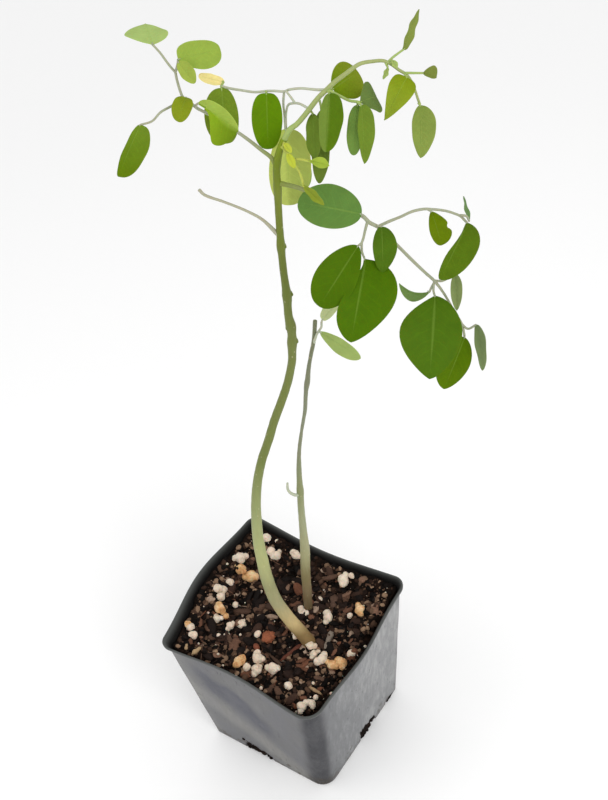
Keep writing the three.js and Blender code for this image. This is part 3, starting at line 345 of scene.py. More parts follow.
SECOND_SHOOT_LEAFLETS = [
    Leaflet(stalk=[(46.5, 5.5, 299.5), (47, 6, 300.3)], tip=(56, 12, 304), left=(3.4, 0.45, 0.4),
            right=(2.2, 0.45, 0.4), tint=(184, 195, 141), roll=15, bow=1, fold=(10, 10)),
    Leaflet(stalk=[(44, 5, 294), (45, 4.5, 295)], tip=(59.5, -8.5, 288), left=(2.8, 0.55, 0.5),
            right=(3.8, 0.6, 0.5), tint=(154, 174, 100), roll=15, bow=1, fold=(10, 10)),
]

# What lies on the potting mix: (x, y, size)
PERLITE = [
    (-47, 4, 4), (-46.5, -0.5, 4), (-16.5, 40, 6), (-24, 27.5, 4), (-30.5, 24, 4), (-30, 20.5, 4),
    (-27.5, 24, 3.5), (-33.5, 9, 4.5), (-27.5, 3.5, 4.5), (-21.5, 4, 5), (-34, -1.5, 3), (-30, -1.5, 3),
    (2.5, 38, 5), (0, 41.5, 4), (-1, 48.5, 4), (4, 45.5, 2), (12.5, 33.5, 5), (34, 13.5, 6.5),
    (38.5, 14, 3), (10, 2, 5), (22.5, -4, 6), (33.5, -5.5, 3), (38, -24, 2), (30.5, -26.5, 4),
    (11, -18, 5), (12, -22.5, 4.5), (15.5, -27, 6), (-3.5, -38, 3.5), (1.5, -51.5, 6), (6.5, -50.5, 4.5),
    (9, -47.5, 2.5), (17.5, -48, 2), (-22.5, -22.5, 3.5), (-16, -19, 6), (-18, -24.5, 6),
    (-9.5, -26.5, 6), (4.5, -8.5, 2.5), (4, -11, 2.5), (-23, -3, 1.5), (-36, -7.5, 1.5),
    (-35.5, -13.5, 1.5), (-34, -19.5, 1.5), (-29, -26, 1.5), (-17, -35, 1.5), (9, -39, 1.5),
    (20, 9, 2.5), (-14, -5, 3.5), (-9, 21, 1.5), (-23, 16, 3), (3, -27, 1.5),
]
GOLDEN_GRAINS = [
    (-17.5, 34.5, 6.5), (-13, 30.5, 6.5), (-31.5, 13.5, 6), (-29, 10, 3), (39, -5, 6), (20, -30.5, 6),
    (-25.5, -19, 6), (24.5, -31, 6), (-50, 6, 3.5),
]
# Bark and wood: (x, y, length, width, thickness, turn in degrees, colour)
BARK = [
    (-9, -8, 7.5, 6.5, 4, 20, (152, 90, 62)), (-7, -2, 5, 4, 3, 70, (90, 62, 48)),
    (-16, -12, 6, 3, 2.5, 100, (128, 74, 54)), (-27, -9, 9, 6, 3, 60, (104, 74, 58)),
    (-46, -11, 6, 2.5, 2, 35, (176, 148, 112)), (-50.5, -6.5, 5, 2, 1.6, 80, (168, 140, 106)),
    (23, 18.5, 4, 2, 2, 40, (80, 58, 44)), (9, -43, 9, 1.8, 2, 134, (160, 132, 100)),
    (1, -19, 14, 2, 2, 30, (96, 54, 40)), (-8, -20.5, 15, 1.8, 2, 121, (74, 54, 42)),
    (27, 6, 8, 4, 2.5, 70, (88, 66, 54)), (-5, 10, 8, 4, 3, 140, (66, 48, 38)),
    (21, -15, 13.5, 3, 2.4, 61, (128, 116, 104)), (15, 26, 8, 4, 2.5, 15, (84, 62, 48)),
    (-12, 40, 7, 3, 2.5, 110, (70, 50, 40)), (-27, -30, 7, 3, 2.5, 45, (92, 68, 52)),
]


def linear(colour):
    """A daylight colour, 0 to 255, as the shader's own numbers, with alpha."""
    shares = [part / 255 for part in colour]
    return tuple(s / 12.92 if s <= 0.04045 else ((s + 0.055) / 1.055) ** 2.4 for s in shares) + (1,)


# Node trees


class Value:
    """An output socket. Sums of Values and numbers add Math nodes to its tree."""

    def __init__(self, graph, socket):
        self.graph = graph
        self.socket = socket

    def __add__(self, other):
        return self.graph.maths("ADD", self, other)

    def __sub__(self, other):
        return self.graph.maths("SUBTRACT", self, other)

    def __mul__(self, other):
        return self.graph.maths("MULTIPLY", self, other)

    def __truediv__(self, other):
        return self.graph.maths("DIVIDE", self, other)

    def __pow__(self, other):
        return self.graph.maths("POWER", self, other)

    def __rsub__(self, other):
        return self.graph.maths("SUBTRACT", other, self)

    def __rtruediv__(self, other):
        return self.graph.maths("DIVIDE", other, self)

    __radd__ = __add__
    __rmul__ = __mul__


class Graph:
    """A node tree that is built by calls."""

    def __init__(self, tree):
        self.tree = tree

    def node(self, kind, settings=None, inputs=None, output=0):
        """Add a node: its settings first, then its sockets by name or number. Returns one output."""
        made = self.tree.nodes.new(kind)
        for name, value in (settings or {}).items():
            if name == "stops":
                self.set_stops(made.color_ramp, value)
            else:
                setattr(made, name, value)
        for name, value in (inputs or {}).items():
            if isinstance(value, Value):
                self.tree.links.new(value.socket, made.inputs[name])
            else:
                made.inputs[name].default_value = value
        return Value(self, made.outputs[output])

    def set_stops(self, ramp, stops):
        """Put (place, colour) stops on a ramp."""
        while len(ramp.elements) < len(stops):
            ramp.elements.new(1)
        for element, (place, colour) in zip(ramp.elements, stops):
            element.position = place
            element.color = colour

    def maths(self, operation, first, second=0.0):
        """A Math node on one or two values."""
        return self.node("ShaderNodeMath", {"operation": operation}, {0: first, 1: second})

    def scaled(self, vector, amount):
        """A vector or a colour times a number."""
        return self.node("ShaderNodeVectorMath", {"operation": "SCALE"}, {0: vector, "Scale": amount})


class Finish(Graph):
    """A material, with its patterns on the piece's own coordinates."""

    def __init__(self, name, **constants):
        self.material = bpy.data.materials.new(name)
        self.material.use_nodes = True
        super().__init__(self.material.node_tree)
        self.shader = self.tree.nodes["Principled BSDF"]
        for socket, value in constants.items():
            self.shader.inputs[socket.replace("_", " ")].default_value = value
        self.place = self.node("ShaderNodeTexCoord", output="Object")

    def spot(self, size, stretch):
        """The piece's coordinates in lengths of size millimetres, stretched along each axis."""
        scale = [1 / (size * MM * part) for part in stretch]
        return self.node("ShaderNodeMapping", None, {"Vector": self.place, "Scale": scale})

    def noise(self, size, detail=4, stretch=(1, 1, 1), roughness=0.55):
        """Noise from 0 to 1 whose lumps are about size millimetres across."""
        inputs = {"Vector": self.spot(size, stretch), "Scale": 1, "Detail": detail, "Roughness": roughness}
        return self.node("ShaderNodeTexNoise", None, inputs)

    def cells(self, size, feature="F1", stretch=(1, 1, 1)):
        """The distance to the nearest of random points about size millimetres apart."""
        inputs = {"Vector": self.spot(size, stretch), "Scale": 1}
        return self.node("ShaderNodeTexVoronoi", {"feature": feature}, inputs)

    def along(self, axis):
        """How far a spot is along X, Y or Z from the middle of the pot's foot, in millimetres."""
        return self.node("ShaderNodeSeparateXYZ", None, {0: self.place}, axis) / MM

    def ease(self, value, low, high):
        """0 at low and beyond, 1 at high and beyond, and smooth between. Low may be the larger."""
        settings = {"interpolation_type": "SMOOTHSTEP"}
        inputs = {"Value": value, "From Min": low, "From Max": high}
        return self.node("ShaderNodeMapRange", settings, inputs)

    def attribute(self, name, output="Fac"):
        """A value or colour that the mesh carries."""
        return self.node("ShaderNodeAttribute", {"attribute_name": name}, None, output)

    def mix(self, share, first, second):
        """Colour first where share is 0 and second where it is 1."""
        inputs = {"Factor": share, 6: first, 7: second}
        return self.node("ShaderNodeMix", {"data_type": "RGBA"}, inputs, 2)

    def ramp(self, value, stops):
        """A colour from (place, colour) stops."""
        return self.node("ShaderNodeValToRGB", {"stops": [(p, linear(c)) for p, c in stops]}, {0: value})

    def finished(self, colour, rough, relief, depth):
        """The material, with its colour, its roughness and a relief of depth millimetres."""
        inputs = {"Height": relief, "Strength": 1, "Distance": depth * MM}
        normal = self.node("ShaderNodeBump", None, inputs)
        for value, socket in ((colour, "Base Color"), (rough, "Roughness"), (normal, "Normal")):
            self.tree.links.new(value.socket, self.shader.inputs[socket])
        return self.material


# Materials


def black_plastic():
    """Dusty black polypropylene with painted reflection: grey walls, the right one paler, a dark band down
    the front corner, and painted shade inside.
    """
    look = Finish("black_plastic", Specular_IOR_Level=0.3)
    x, y, height = look.along("X"), look.along("Y"), look.along("Z")
    inner = look.attribute("inner")
    wander = look.noise(16, 3, (1, 1, 2)) - 0.5
    streaks = look.ease(look.noise(2.8, 4, (1, 1, 4.5), 0.65), 0.38, 0.68)
    clouds = look.ease(look.noise(15, 5, (1, 1, 1.4), 0.6), 0.36, 0.64)
    # The painted dark reflection down the front corner leans: it stands nearer to the right wall at the
    # rim
    from_corner = look.maths("ABSOLUTE", x + y - height * 0.06 + 2.5 + wander * 5)
    corner = look.ease(from_corner, 4.5, 12) * 0.86 + look.ease(from_corner, 9, 30) * 0.14
    # Painted light: the right wall is paler than the left
    to_right = look.ease(x + y, -6, 12)
    # On the left wall the painted reflection has one dark and one pale band that run down towards the
    # front corner, and a paler far edge
    slant = height + x * 0.77 + wander * 16
    dark_band = look.ease(look.maths("ABSOLUTE", slant - 55), 17, 4) * look.ease(x, 20, 2)
    dark_band = dark_band * look.ease(x, -32, -22)
    pale_band = look.ease(look.maths("ABSOLUTE", slant - 25), 17, 3)
    far_edge = look.ease(x, -28, -38)
    left_tone = 0.46 + pale_band * 0.42 - dark_band * 0.5 + far_edge * 0.3 + (clouds - 0.5) * 0.3
    left = look.mix(left_tone, linear((78, 79, 88)), linear((128, 127, 124)))
    # The right wall's painted reflection grows paler towards the back, and it is darker towards the foot
    right_tone = look.ease(y, -38, 22) * 0.7 + (clouds - 0.5) * 0.5 + (streaks - 0.5) * 0.3
    right_tone = right_tone + 0.02 - look.ease(height, 26, 0) * 0.16
    right = look.mix(right_tone, linear((116, 117, 119)), linear((158, 158, 158)))
    # The walls' grey is painted reflection, with dust streaks over it
    sheen_and_dust = look.scaled(look.mix(to_right, left, right), 0.86 + streaks * 0.2)
    # Down the front corner the painted reflection turns dark
    colour = look.mix(corner * 0.93 + 0.06, linear((38, 38, 44)), sheen_and_dust)
    scuffs = look.ease(look.noise(1.1, 5, (1, 1, 4), 0.7), 0.6, 0.74)
    colour = look.mix(scuffs * 0.25, colour, linear((150, 152, 156)))
    scratches = look.ease(look.noise(3.2, 4, (0.6, 0.6, 1.8), 0.62), 0.62, 0.7)
    colour = look.mix(scratches * 0.6, colour, linear((50, 50, 58)))
    stain = look.ease(look.noise(5, 5, roughness=0.7) - height * 0.014, 0.42, 0.54)
    colour = look.mix(stain * 0.7, colour, linear((62, 50, 38)))
    front_foot = look.ease(height, 13, 3) * look.ease(from_corner, 11, 5) * look.ease(x, 0, 20)
    specks = look.ease(look.noise(1.6, 4, roughness=0.7), 0.44, 0.56)
    colour = look.mix(front_foot * (0.2 + specks * 0.75), colour, linear((44, 36, 24)))
    # Painted sheen: the lip is an even mid grey
    lip = look.ease(height, 96.6, 97.6)
    colour = look.mix(lip, colour, linear((70, 72, 70)))
    # Painted shade: inside the pot the colour goes near black by the share kept as inner
    colour = look.mix(inner, colour, linear((12, 10, 8)))
    rough = 0.42 + clouds * 0.12 + streaks * 0.08 + scuffs * 0.1 + inner * 0.4
    relief = look.noise(0.8, 3) + look.noise(9, 2, (1, 1, 2)) * 2.5
    return look.finished(colour, rough, relief, 0.12)


def peat():
    """Dark damp peat."""
    look = Finish("peat", Specular_IOR_Level=0.1)
    patches = look.noise(5, 5, roughness=0.65)
    colour = look.ramp(patches, [(0.3, (8, 5, 3)), (0.5, (22, 13, 8)), (0.7, (44, 28, 19))])
    relief = look.noise(1.3, 6, roughness=0.7)
    rough = 0.75 + look.noise(2, 2) * 0.2
    return look.finished(colour, rough, relief, 0.8)


def crumb_look():
    """Peat crumbs and bark scraps, each in its own shade of brown."""
    look = Finish("peat_crumbs", Specular_IOR_Level=0.12)
    shade = look.attribute("shade")
    stops = [(0, (4, 2, 1)), (0.38, (16, 9, 5)), (0.6, (46, 30, 22)), (0.82, (88, 66, 51)),
             (1, (150, 122, 98))]
    colour = look.ramp(shade, stops)
    grain = look.noise(0.9, 4, roughness=0.7)
    colour = look.scaled(colour, 0.25 + grain * 1.5)
    rough = 0.6 + grain * 0.35
    return look.finished(colour, rough, grain, 0.4)


def bark_look():
    """Dark bark with a few redder and paler pieces, and a grain along each piece."""
    look = Finish("bark", Specular_IOR_Level=0.16)
    shade = look.attribute("shade")
    grain = look.noise(0.7, 5, (1, 1, 3), 0.7)
    stops = [(0, (8, 4, 2)), (0.34, (26, 15, 10)), (0.56, (58, 39, 30)), (0.76, (92, 68, 54)),
             (0.9, (112, 70, 50)), (0.96, (136, 110, 92)), (1, (176, 152, 132))]
    colour = look.ramp(shade, stops)
    colour = look.scaled(colour, 0.2 + grain * 1.6)
    rough = 0.5 + grain * 0.35
    return look.finished(colour, rough, grain, 0.5)


def chip_look():
    """The larger chips and sticks, each in its own colour, with a grain along them."""
    look = Finish("bark_chips", Specular_IOR_Level=0.16)
    grain = look.noise(0.8, 5, (1, 1, 2.5), 0.7)
    colour = look.scaled(look.attribute("tint", "Color"), 0.4 + grain * 1.1)
    rough = 0.55 + grain * 0.3
    return look.finished(colour, rough, grain, 0.5)


def perlite_look():
    """Puffed white rock, finely pitted and a little dirty."""
    look = Finish("perlite", Specular_IOR_Level=0.2, Subsurface_Weight=0.15, Subsurface_Scale=0.002)
    pits = look.cells(0.6)
    dirt = look.ease(look.noise(2.6, 4, roughness=0.6), 0.5, 0.76)
    cream = look.noise(7, 1)
    colour = look.mix(cream, linear((240, 226, 208)), linear((220, 196, 170)))
    colour = look.mix(dirt * 0.5, colour, linear((150, 118, 96)))
    relief = look.ease(pits, 0.1, 0.6) + look.noise(0.5, 4) * 0.6
    rough = 0.8 + dirt * 0.1
    return look.finished(colour, rough, relief, 0.22)


def golden_look():
    """Tan, stained grains."""
    look = Finish("golden_grains", Specular_IOR_Level=0.25, Subsurface_Weight=0.15, Subsurface_Scale=0.002)
    patches = look.noise(3.4, 4, roughness=0.6)
    colour = look.ramp(patches, [(0.3, (158, 108, 66)), (0.48, (212, 164, 112)), (0.66, (234, 202, 158))])
    relief = look.ease(look.cells(0.8), 0.1, 0.6) + look.noise(0.5, 4) * 0.5
    rough = 0.65 + patches * 0.2
    return look.finished(colour, rough, relief, 0.22)


def stem_look(name, stops, top):
    """Smooth young bark whose colour changes from the soil up, with streaks and pores."""
    look = Finish(name, Specular_IOR_Level=0.3, Subsurface_Weight=0.08, Subsurface_Scale=0.002)
    soil = stops[0][0]
    inputs = {"Value": look.along("Z"), "From Min": soil, "From Max": top}
    rise = look.node("ShaderNodeMapRange", None, inputs)
    wander = look.noise(14, 2, (1, 1, 3)) - 0.5
    shares = [((height - soil) / (top - soil), tint) for height, tint in stops]
    colour = look.ramp(rise + wander * 0.06, shares)
    streaks = look.noise(0.8, 4, (1, 1, 16), 0.6)
    pores = look.ease(look.cells(2.6, stretch=(1, 1, 1.8)), 0.16, 0.08)
    colour = look.scaled(colour, 0.84 + streaks * 0.32)
    colour = look.mix(pores * 0.4, colour, linear((196, 190, 150)))
    relief = streaks + pores * 0.6 + look.noise(2.2, 3) * 0.7
    rough = 0.42 + streaks * 0.2
    return look.finished(colour, rough, relief, 0.22)


def stalk_look():
    """Thin stalks, each in its own tint."""
    look = Finish("leaf_stalks", Specular_IOR_Level=0.4, Subsurface_Weight=0.1, Subsurface_Scale=0.001)
    mottle = look.noise(1.6, 3)
    colour = look.scaled(look.attribute("tint", "Color"), 0.85 + mottle * 0.3)
    rough = 0.5 + mottle * 0.15
    return look.finished(colour, rough, mottle, 0.1)


def leaf_look(name, veins=1.0):
    """Soft leaf: midrib, faint side veins that fork towards the edge, mottling, and a paler underside."""
    look = Finish(name, Specular_IOR_Level=0.05, Subsurface_Weight=0.05, Subsurface_Scale=0.001)
    uv = look.node("ShaderNodeUVMap", {"uv_map": "blade"})
    split = look.node("ShaderNodeSeparateXYZ", None, {0: uv}, "X")
    along = look.node("ShaderNodeSeparateXYZ", None, {0: uv}, "Y")
    side = look.maths("ABSOLUTE", split * 2 - 1)
    rib = look.ease(side * (0.5 + along), 0.06, 0.012) * look.ease(along, 1.0, 0.55)
    ladder = (along - side ** 1.3 * 0.28) * 8 + look.noise(6, 2) * 0.8
    comb = look.maths("ABSOLUTE", look.maths("FRACT", ladder) - 0.5)
    side_veins = look.ease(comb, 0.12, 0.01) * look.ease(side, 0.9, 0.4)
    net = look.cells(1.3, "DISTANCE_TO_EDGE")
    mottle = look.noise(4.5, 4, roughness=0.6)
    underside = look.attribute("underside")
    tint = look.attribute("tint", "Color")
    colour = look.scaled(tint, 0.82 + mottle * 0.36)
    colour = look.mix(look.ease(side, 0.93, 1.0) * 0.25, colour, look.scaled(tint, 1.5))
    colour = look.mix(side_veins * 0.1 * veins, colour, look.scaled(tint, 1.9))
    colour = look.mix(rib * 0.17 * veins, colour, linear((150, 178, 80)))
    colour = look.mix(underside * 0.4, colour, linear((150, 172, 118)))
    relief = look.ease(net, 0.0, 0.25) * 0.2 - side_veins * 0.3 * veins - rib * 0.8 + mottle * 0.5
    rough = 0.5 + mottle * 0.16 + underside * 0.14
    return look.finished(colour, rough, relief, 0.12)


# Meshes


def object_from(name, points, faces, material=None):
    """A smooth mesh object from points in metres."""
    mesh = bpy.data.meshes.new(name)
    mesh.from_pydata([tuple(p) for p in points], [], faces)
    mesh.validate()
    mesh.shade_smooth()
    if material:
        mesh.materials.append(material)
    made = bpy.data.objects.new(name, mesh)
    bpy.context.scene.collection.objects.link(made)
    return made


def evaluated_mesh(made):
    """An object's mesh as its modifiers leave it."""
    evaluated = made.evaluated_get(bpy.context.evaluated_depsgraph_get())
    return bpy.data.meshes.new_from_object(evaluated)


def store(made, name, kind, values):
    """Keep a value or colour for every point of a mesh."""
    attribute = made.data.attributes.new(name, kind, "POINT")
    field = "color" if kind == "FLOAT_COLOR" else "value"
    attribute.data.foreach_set(field, np.asarray(values, dtype=np.float32).ravel())


def to_pot_frame(points):
    """Points of the plant's frame in millimetres, turned into the pot's frame, in metres."""
    points = np.asarray(points, dtype=float)
    x, y, z = points[..., 0], points[..., 1], points[..., 2]
    cos, sin = math.cos(PLANT_TURN), math.sin(PLANT_TURN)
    return np.stack([x * cos - y * sin, x * sin + y * cos, z], axis=-1) * MM


def smooth_path(points, step):
    """Points every step or so along a centripetal curve through (x, y, z, ...) points."""
    points = np.asarray(points, dtype=float)
    ends = [2 * points[0] - points[1], *points, 2 * points[-1] - points[-2]]
    made = []
    for k in range(len(points) - 1):
        before, start, stop, after = ends[k : k + 4]
        gaps = [max(np.linalg.norm((b - a)[:3]) ** 0.5, 1e-4) for a, b in
                ((before, start), (start, stop), (stop, after))]
        speeds = [(start - before) / gaps[0], (stop - start) / gaps[1], (after - stop) / gaps[2]]
        leave = (speeds[0] - (stop - before) / (gaps[0] + gaps[1]) + speeds[1]) * gaps[1]
        arrive = (speeds[1] - (after - start) / (gaps[1] + gaps[2]) + speeds[2]) * gaps[1]
        count = max(2, round(np.linalg.norm((stop - start)[:3]) / step))
        for i in range(count):
            t = i / count
            made.append(start + leave * t + (3 * (stop - start) - 2 * leave - arrive) * t**2
                        + (2 * (start - stop) + leave + arrive) * t**3)
            made[-1][3:] = start[3:] + (stop[3:] - start[3:]) * t
    made.append(points[-1])
    return np.array(made)


# Rules: geometry node trees with named sizes


class Rule(Graph):
    """A geometry node tree. What it is given comes in as named inputs."""

    def __init__(self, name):
        super().__init__(bpy.data.node_groups.new(name, "GeometryNodeTree"))
        self.labels = {}
        self.given = self.tree.nodes.new("NodeGroupInput")
        self.geometry = self.input("Geometry", "NodeSocketGeometry")

    def input(self, label, kind="NodeSocketFloat"):
        """A named input. Its identifier is kept for grow."""
        socket = self.tree.interface.new_socket(label, in_out="INPUT", socket_type=kind)
        self.labels[label] = socket.identifier
        return Value(self, self.given.outputs[label])

    def end(self, geometry, material):
        """Close the tree: instances become real, and the material goes on."""
        self.tree.interface.new_socket("Geometry", in_out="OUTPUT", socket_type="NodeSocketGeometry")
        real = self.node("GeometryNodeRealizeInstances", None, {0: geometry})
        smooth = self.node("GeometryNodeSetShadeSmooth", None, {0: real})
        painted = self.node("GeometryNodeSetMaterial", None, {"Geometry": smooth, "Material": material})
        output = self.tree.nodes.new("NodeGroupOutput")
        self.tree.links.new(painted.socket, output.inputs[0])
        return self

    def random_share(self, seed):
        """A number from 0 to 1, another for each crumb."""
        inputs = {2: 0.0, 3: 1.0, "Seed": seed}
        return self.node("FunctionNodeRandomValue", {"data_type": "FLOAT"}, inputs, 1)

    def random_vector(self, low, high, seed):
        """Three numbers between those of low and high, others for each crumb."""
        inputs = {0: low, 1: high, "Seed": seed}
        return self.node("FunctionNodeRandomValue", {"data_type": "FLOAT_VECTOR"}, inputs)

    def push_out(self, geometry, amount, size, detail=3.0):
        """Move the points along their normals by noise: amount metres, lumps of size metres."""
        place = self.node("GeometryNodeInputPosition")
        inputs = {"Vector": place, "Scale": 1 / size, "Detail": detail}
        lumps = self.node("ShaderNodeTexNoise", None, inputs) - 0.5
        normal = self.node("GeometryNodeInputNormal")
        inputs = {"Geometry": geometry, "Offset": self.scaled(normal, lumps * amount * 2)}
        return self.node("GeometryNodeSetPosition", None, inputs)

    def grow(self, host, name, **given):
        """Run the rule on a host object, and leave a plain mesh in its place."""
        modifier = host.modifiers.new(name, "NODES")
        modifier.node_group = self.tree
        for label, value in given.items():
            modifier[self.labels[label.replace("_", " ")]] = value
        bpy.context.view_layer.update()
        mesh = evaluated_mesh(host)
        host.modifiers.clear()
        bpy.data.objects.remove(host)
        mesh.name = name
        made = bpy.data.objects.new(name, mesh)
        bpy.context.scene.collection.objects.link(made)
        return made


def stem_rule():
    """Round stems along edge chains that carry a radius, with a little unevenness."""
    rule = Rule("round_stems")
    sides = rule.input("Sides", "NodeSocketInt")
    bumps = rule.input("Bumps")
    bump_size = rule.input("Bump size")
    material = rule.input("Material", "NodeSocketMaterial")
    radius = rule.node("GeometryNodeInputNamedAttribute", {"data_type": "FLOAT"}, {"Name": "radius"})
    line = rule.node("GeometryNodeMeshToCurve", None, {0: rule.geometry})
    circle = rule.node("GeometryNodeCurvePrimitiveCircle", None, {"Resolution": sides, "Radius": 1.0})
    inputs = {"Curve": line, "Profile Curve": circle, "Scale": radius, "Fill Caps": True}
    tube = rule.node("GeometryNodeCurveToMesh", None, inputs)
    return rule.end(rule.push_out(tube, bumps, bump_size, 2.0), material)


def strewn_rule():
    """Rough crumbs strewn over a surface, each with its own size, turn and shade."""
    rule = Rule("strewn_crumbs")
    density = rule.input("Density")
    smallest = rule.input("Smallest")
    largest = rule.input("Largest")
    stretch = rule.input("Stretch", "NodeSocketVector")
    tilt = rule.input("Tilt", "NodeSocketVector")
    roughness = rule.input("Roughness")
    detail = rule.input("Detail", "NodeSocketInt")
    seed = rule.input("Seed", "NodeSocketInt")
    material = rule.input("Material", "NodeSocketMaterial")
    inputs = {"Mesh": rule.geometry, "Density": density, "Seed": seed}
    spots = rule.node("GeometryNodeDistributePointsOnFaces", None, inputs)
    shape = rule.node("GeometryNodeMeshIcoSphere", None, {"Radius": 0.5, "Subdivisions": detail})
    shape = rule.node("GeometryNodeTransform", None, {"Geometry": shape, "Scale": stretch})
    turn = rule.random_vector(rule.scaled(tilt, -1.0), tilt, seed + 1)
    size = smallest + (largest - smallest) * rule.random_share(seed + 2) ** 2.5
    inputs = {"Points": spots, "Instance": shape, "Rotation": turn, "Scale": size}
    crumbs = rule.node("GeometryNodeInstanceOnPoints", None, inputs)
    settings = {"data_type": "FLOAT", "domain": "INSTANCE"}
    inputs = {"Geometry": crumbs, "Name": "shade", "Value": rule.random_share(seed + 3)}
    crumbs = rule.node("GeometryNodeStoreNamedAttribute", settings, inputs)
    real = rule.node("GeometryNodeRealizeInstances", None, {0: crumbs})
    return rule.end(rule.push_out(real, roughness, 0.9 * MM), material)


def grain_rule():
    """Puffed grains on single points that carry a size: smooth, uneven balls."""
    rule = Rule("puffed_grains")
    seed = rule.input("Seed", "NodeSocketInt")
    detail = rule.input("Detail", "NodeSocketInt")
    material = rule.input("Material", "NodeSocketMaterial")
    size = rule.node("GeometryNodeInputNamedAttribute", {"data_type": "FLOAT"}, {"Name": "size"})
    shape = rule.node("GeometryNodeMeshIcoSphere", None, {"Radius": 0.5, "Subdivisions": detail})
    points = rule.node("GeometryNodeMeshToPoints", None, {0: rule.geometry})
    turn = rule.random_vector((0.0,) * 3, (6.3,) * 3, seed)
    squash = rule.random_vector((0.9,) * 3, (1.14,) * 3, seed + 1)
    inputs = {"Points": points, "Instance": shape, "Rotation": turn, "Scale": rule.scaled(squash, size)}
    grains = rule.node("GeometryNodeInstanceOnPoints", None, inputs)
    real = rule.node("GeometryNodeRealizeInstances", None, {0: grains})
    lumpy = rule.push_out(real, 0.6 * MM, 2.8 * MM, 0.0)
    return rule.end(rule.push_out(lumpy, 0.14 * MM, 0.7 * MM), material)


# Stems and stalks


def path_tints(tint, count):
    """The colours along a path: one tint, or the first of a pair that turns to the other by a third."""
    near, far = tint if isinstance(tint[0], tuple) else (tint, tint)
    near, far = np.array(linear(near)), np.array(linear(far))
    return near + (far - near) * np.clip(np.linspace(0, 3, count), 0, 1)[:, None]


def chains(paths, tints=None, step=1.2):
    """An object of edge chains along the paths, which carry a radius and a tint."""
    points, edges, radii, colours = [], [], [], []
    for k, path in enumerate(paths):
        curve = smooth_path(path, step)
        first = len(points)
        points.extend(to_pot_frame(curve[:, :3]))
        edges.extend((first + i, first + i + 1) for i in range(len(curve) - 1))
        radii.extend(curve[:, 3] * MM)
        colours.extend(path_tints(tints[k] if tints else STALK_GREY, len(curve)))
    mesh = bpy.data.meshes.new("chains")
    mesh.from_pydata([tuple(p) for p in points], edges, [])
    made = bpy.data.objects.new("chains", mesh)
    bpy.context.scene.collection.objects.link(made)
    store(made, "radius", "FLOAT", radii)
    store(made, "tint", "FLOAT_COLOR", colours)
    return made


def stub(path, height, direction, radius, reach):
    """A short stub on a stem at a height: (x, y, z, radius) points that lean out of it."""
    curve = smooth_path(path, 1)
    at = curve[np.argmin(abs(curve[:, 2] - height))]
    out = np.array([*direction, 0.25])
    out = out / np.linalg.norm(out)
    steps = [(0, 1.15), (0.72, 1.1), (0.92, 0.95), (1, 0.6)]
    return [(*(at[:3] + out * (at[3] + reach) * share), radius * part) for share, part in steps]


def swollen(path, bumps):
    """A finer stem path with swellings: (height, extra radius, half-length)."""
    curve = smooth_path(path, 2)
    for height, extra, half in bumps:
        curve[:, 3] += extra * np.exp(-(((curve[:, 2] - height) / half) ** 2))
    return curve


# Blades


def half_width(shape, u):
    """Half-width of a blade at u from base (0) to tip (1)."""
    width, widest, fullness, *towards_tip = shape
    shifted = np.minimum(1, u ** (math.log(0.5) / math.log(widest)))
    power = np.where(u < widest, fullness, towards_tip[0] if towards_tip else fullness)
    return np.maximum(0.25, width * np.maximum(0, np.sin(math.pi * shifted)) ** power)


def unit(vectors):
    """The vectors at length 1."""
    return vectors / np.linalg.norm(vectors, axis=-1, keepdims=True)


def blade_surface(leaf, rows, columns, draw):
    """The middle surface of a blade as a (rows, columns, 3) grid.

    With it come the way its face looks, and two grids: how far along it each point is, 0 to 1, and
    how far across, -1 to 1.
    """
    base, tip = np.array(leaf.stalk[-1], float), np.array(leaf.tip, float)
    length = np.linalg.norm(tip - base)
    along = (tip - base) / length
    arch = unit(LIGHT - along * (LIGHT @ along))
    roll = math.radians(leaf.roll)
    face = arch * math.cos(roll) + np.cross(along, arch) * math.sin(roll)
    across = np.cross(along, face)
    u = (1 - np.cos(np.linspace(0, math.pi, rows))) / 2
    v = np.sin(np.linspace(-math.pi / 2, math.pi / 2, columns))
    left, right = half_width(leaf.left, u), half_width(leaf.right, u)
    if leaf.notch:
        at, spread, depth = leaf.notch
        left = left * (1 - depth * np.exp(-(((u - at) / spread) ** 2)))
    u, v = np.meshgrid(u, v, indexing="ij")
    half = np.where(v < 0, left[:, None], right[:, None]) * abs(v)
    lift = np.radians(np.where(v < 0, *leaf.fold))
    swell = 4 * u * (1 - u)
    turns = u * draw.uniform(1.6, 2.6) + np.where(v < 0, draw.random(), draw.random())
    wave = EDGE_WAVE * np.sin(turns * 2 * math.pi) * v**2 * swell
    sideways = np.sign(v) * half * np.cos(lift) + leaf.sweep * swell
    upwards = half * np.sin(lift) + wave
    grid = base + along * (u * length)[..., None] + across * sideways[..., None]
    return grid + face * upwards[..., None] + arch * (leaf.bow * swell)[..., None], face, u, v


def skin_faces(first, rows, columns, facing):
    """The faces of a closed skin. Its top's points come first, row by row, then its underside's."""
    faces = []
    count = rows * columns

    def quad(a, b, c, d):
        faces.append((a, b, c, d) if facing else (d, c, b, a))

    for i in range(rows - 1):
        for j in range(columns - 1):
            a = first + i * columns + j
            quad(a, a + columns, a + columns + 1, a + 1)
            quad(a + count, a + count + 1, a + count + columns + 1, a + count + columns)
        a, b = first + i * columns, first + (i + 1) * columns
        quad(a, a + count, b + count, b)
        a, b = a + columns - 1, b + columns - 1
        quad(b, b + count, a + count, a)
    last = first + (rows - 1) * columns
    for j in range(columns - 1):
        quad(first + j, first + j + 1, first + j + 1 + count, first + j + count)
        quad(last + j + 1, last + j, last + j + count, last + j + 1 + count)
    return faces


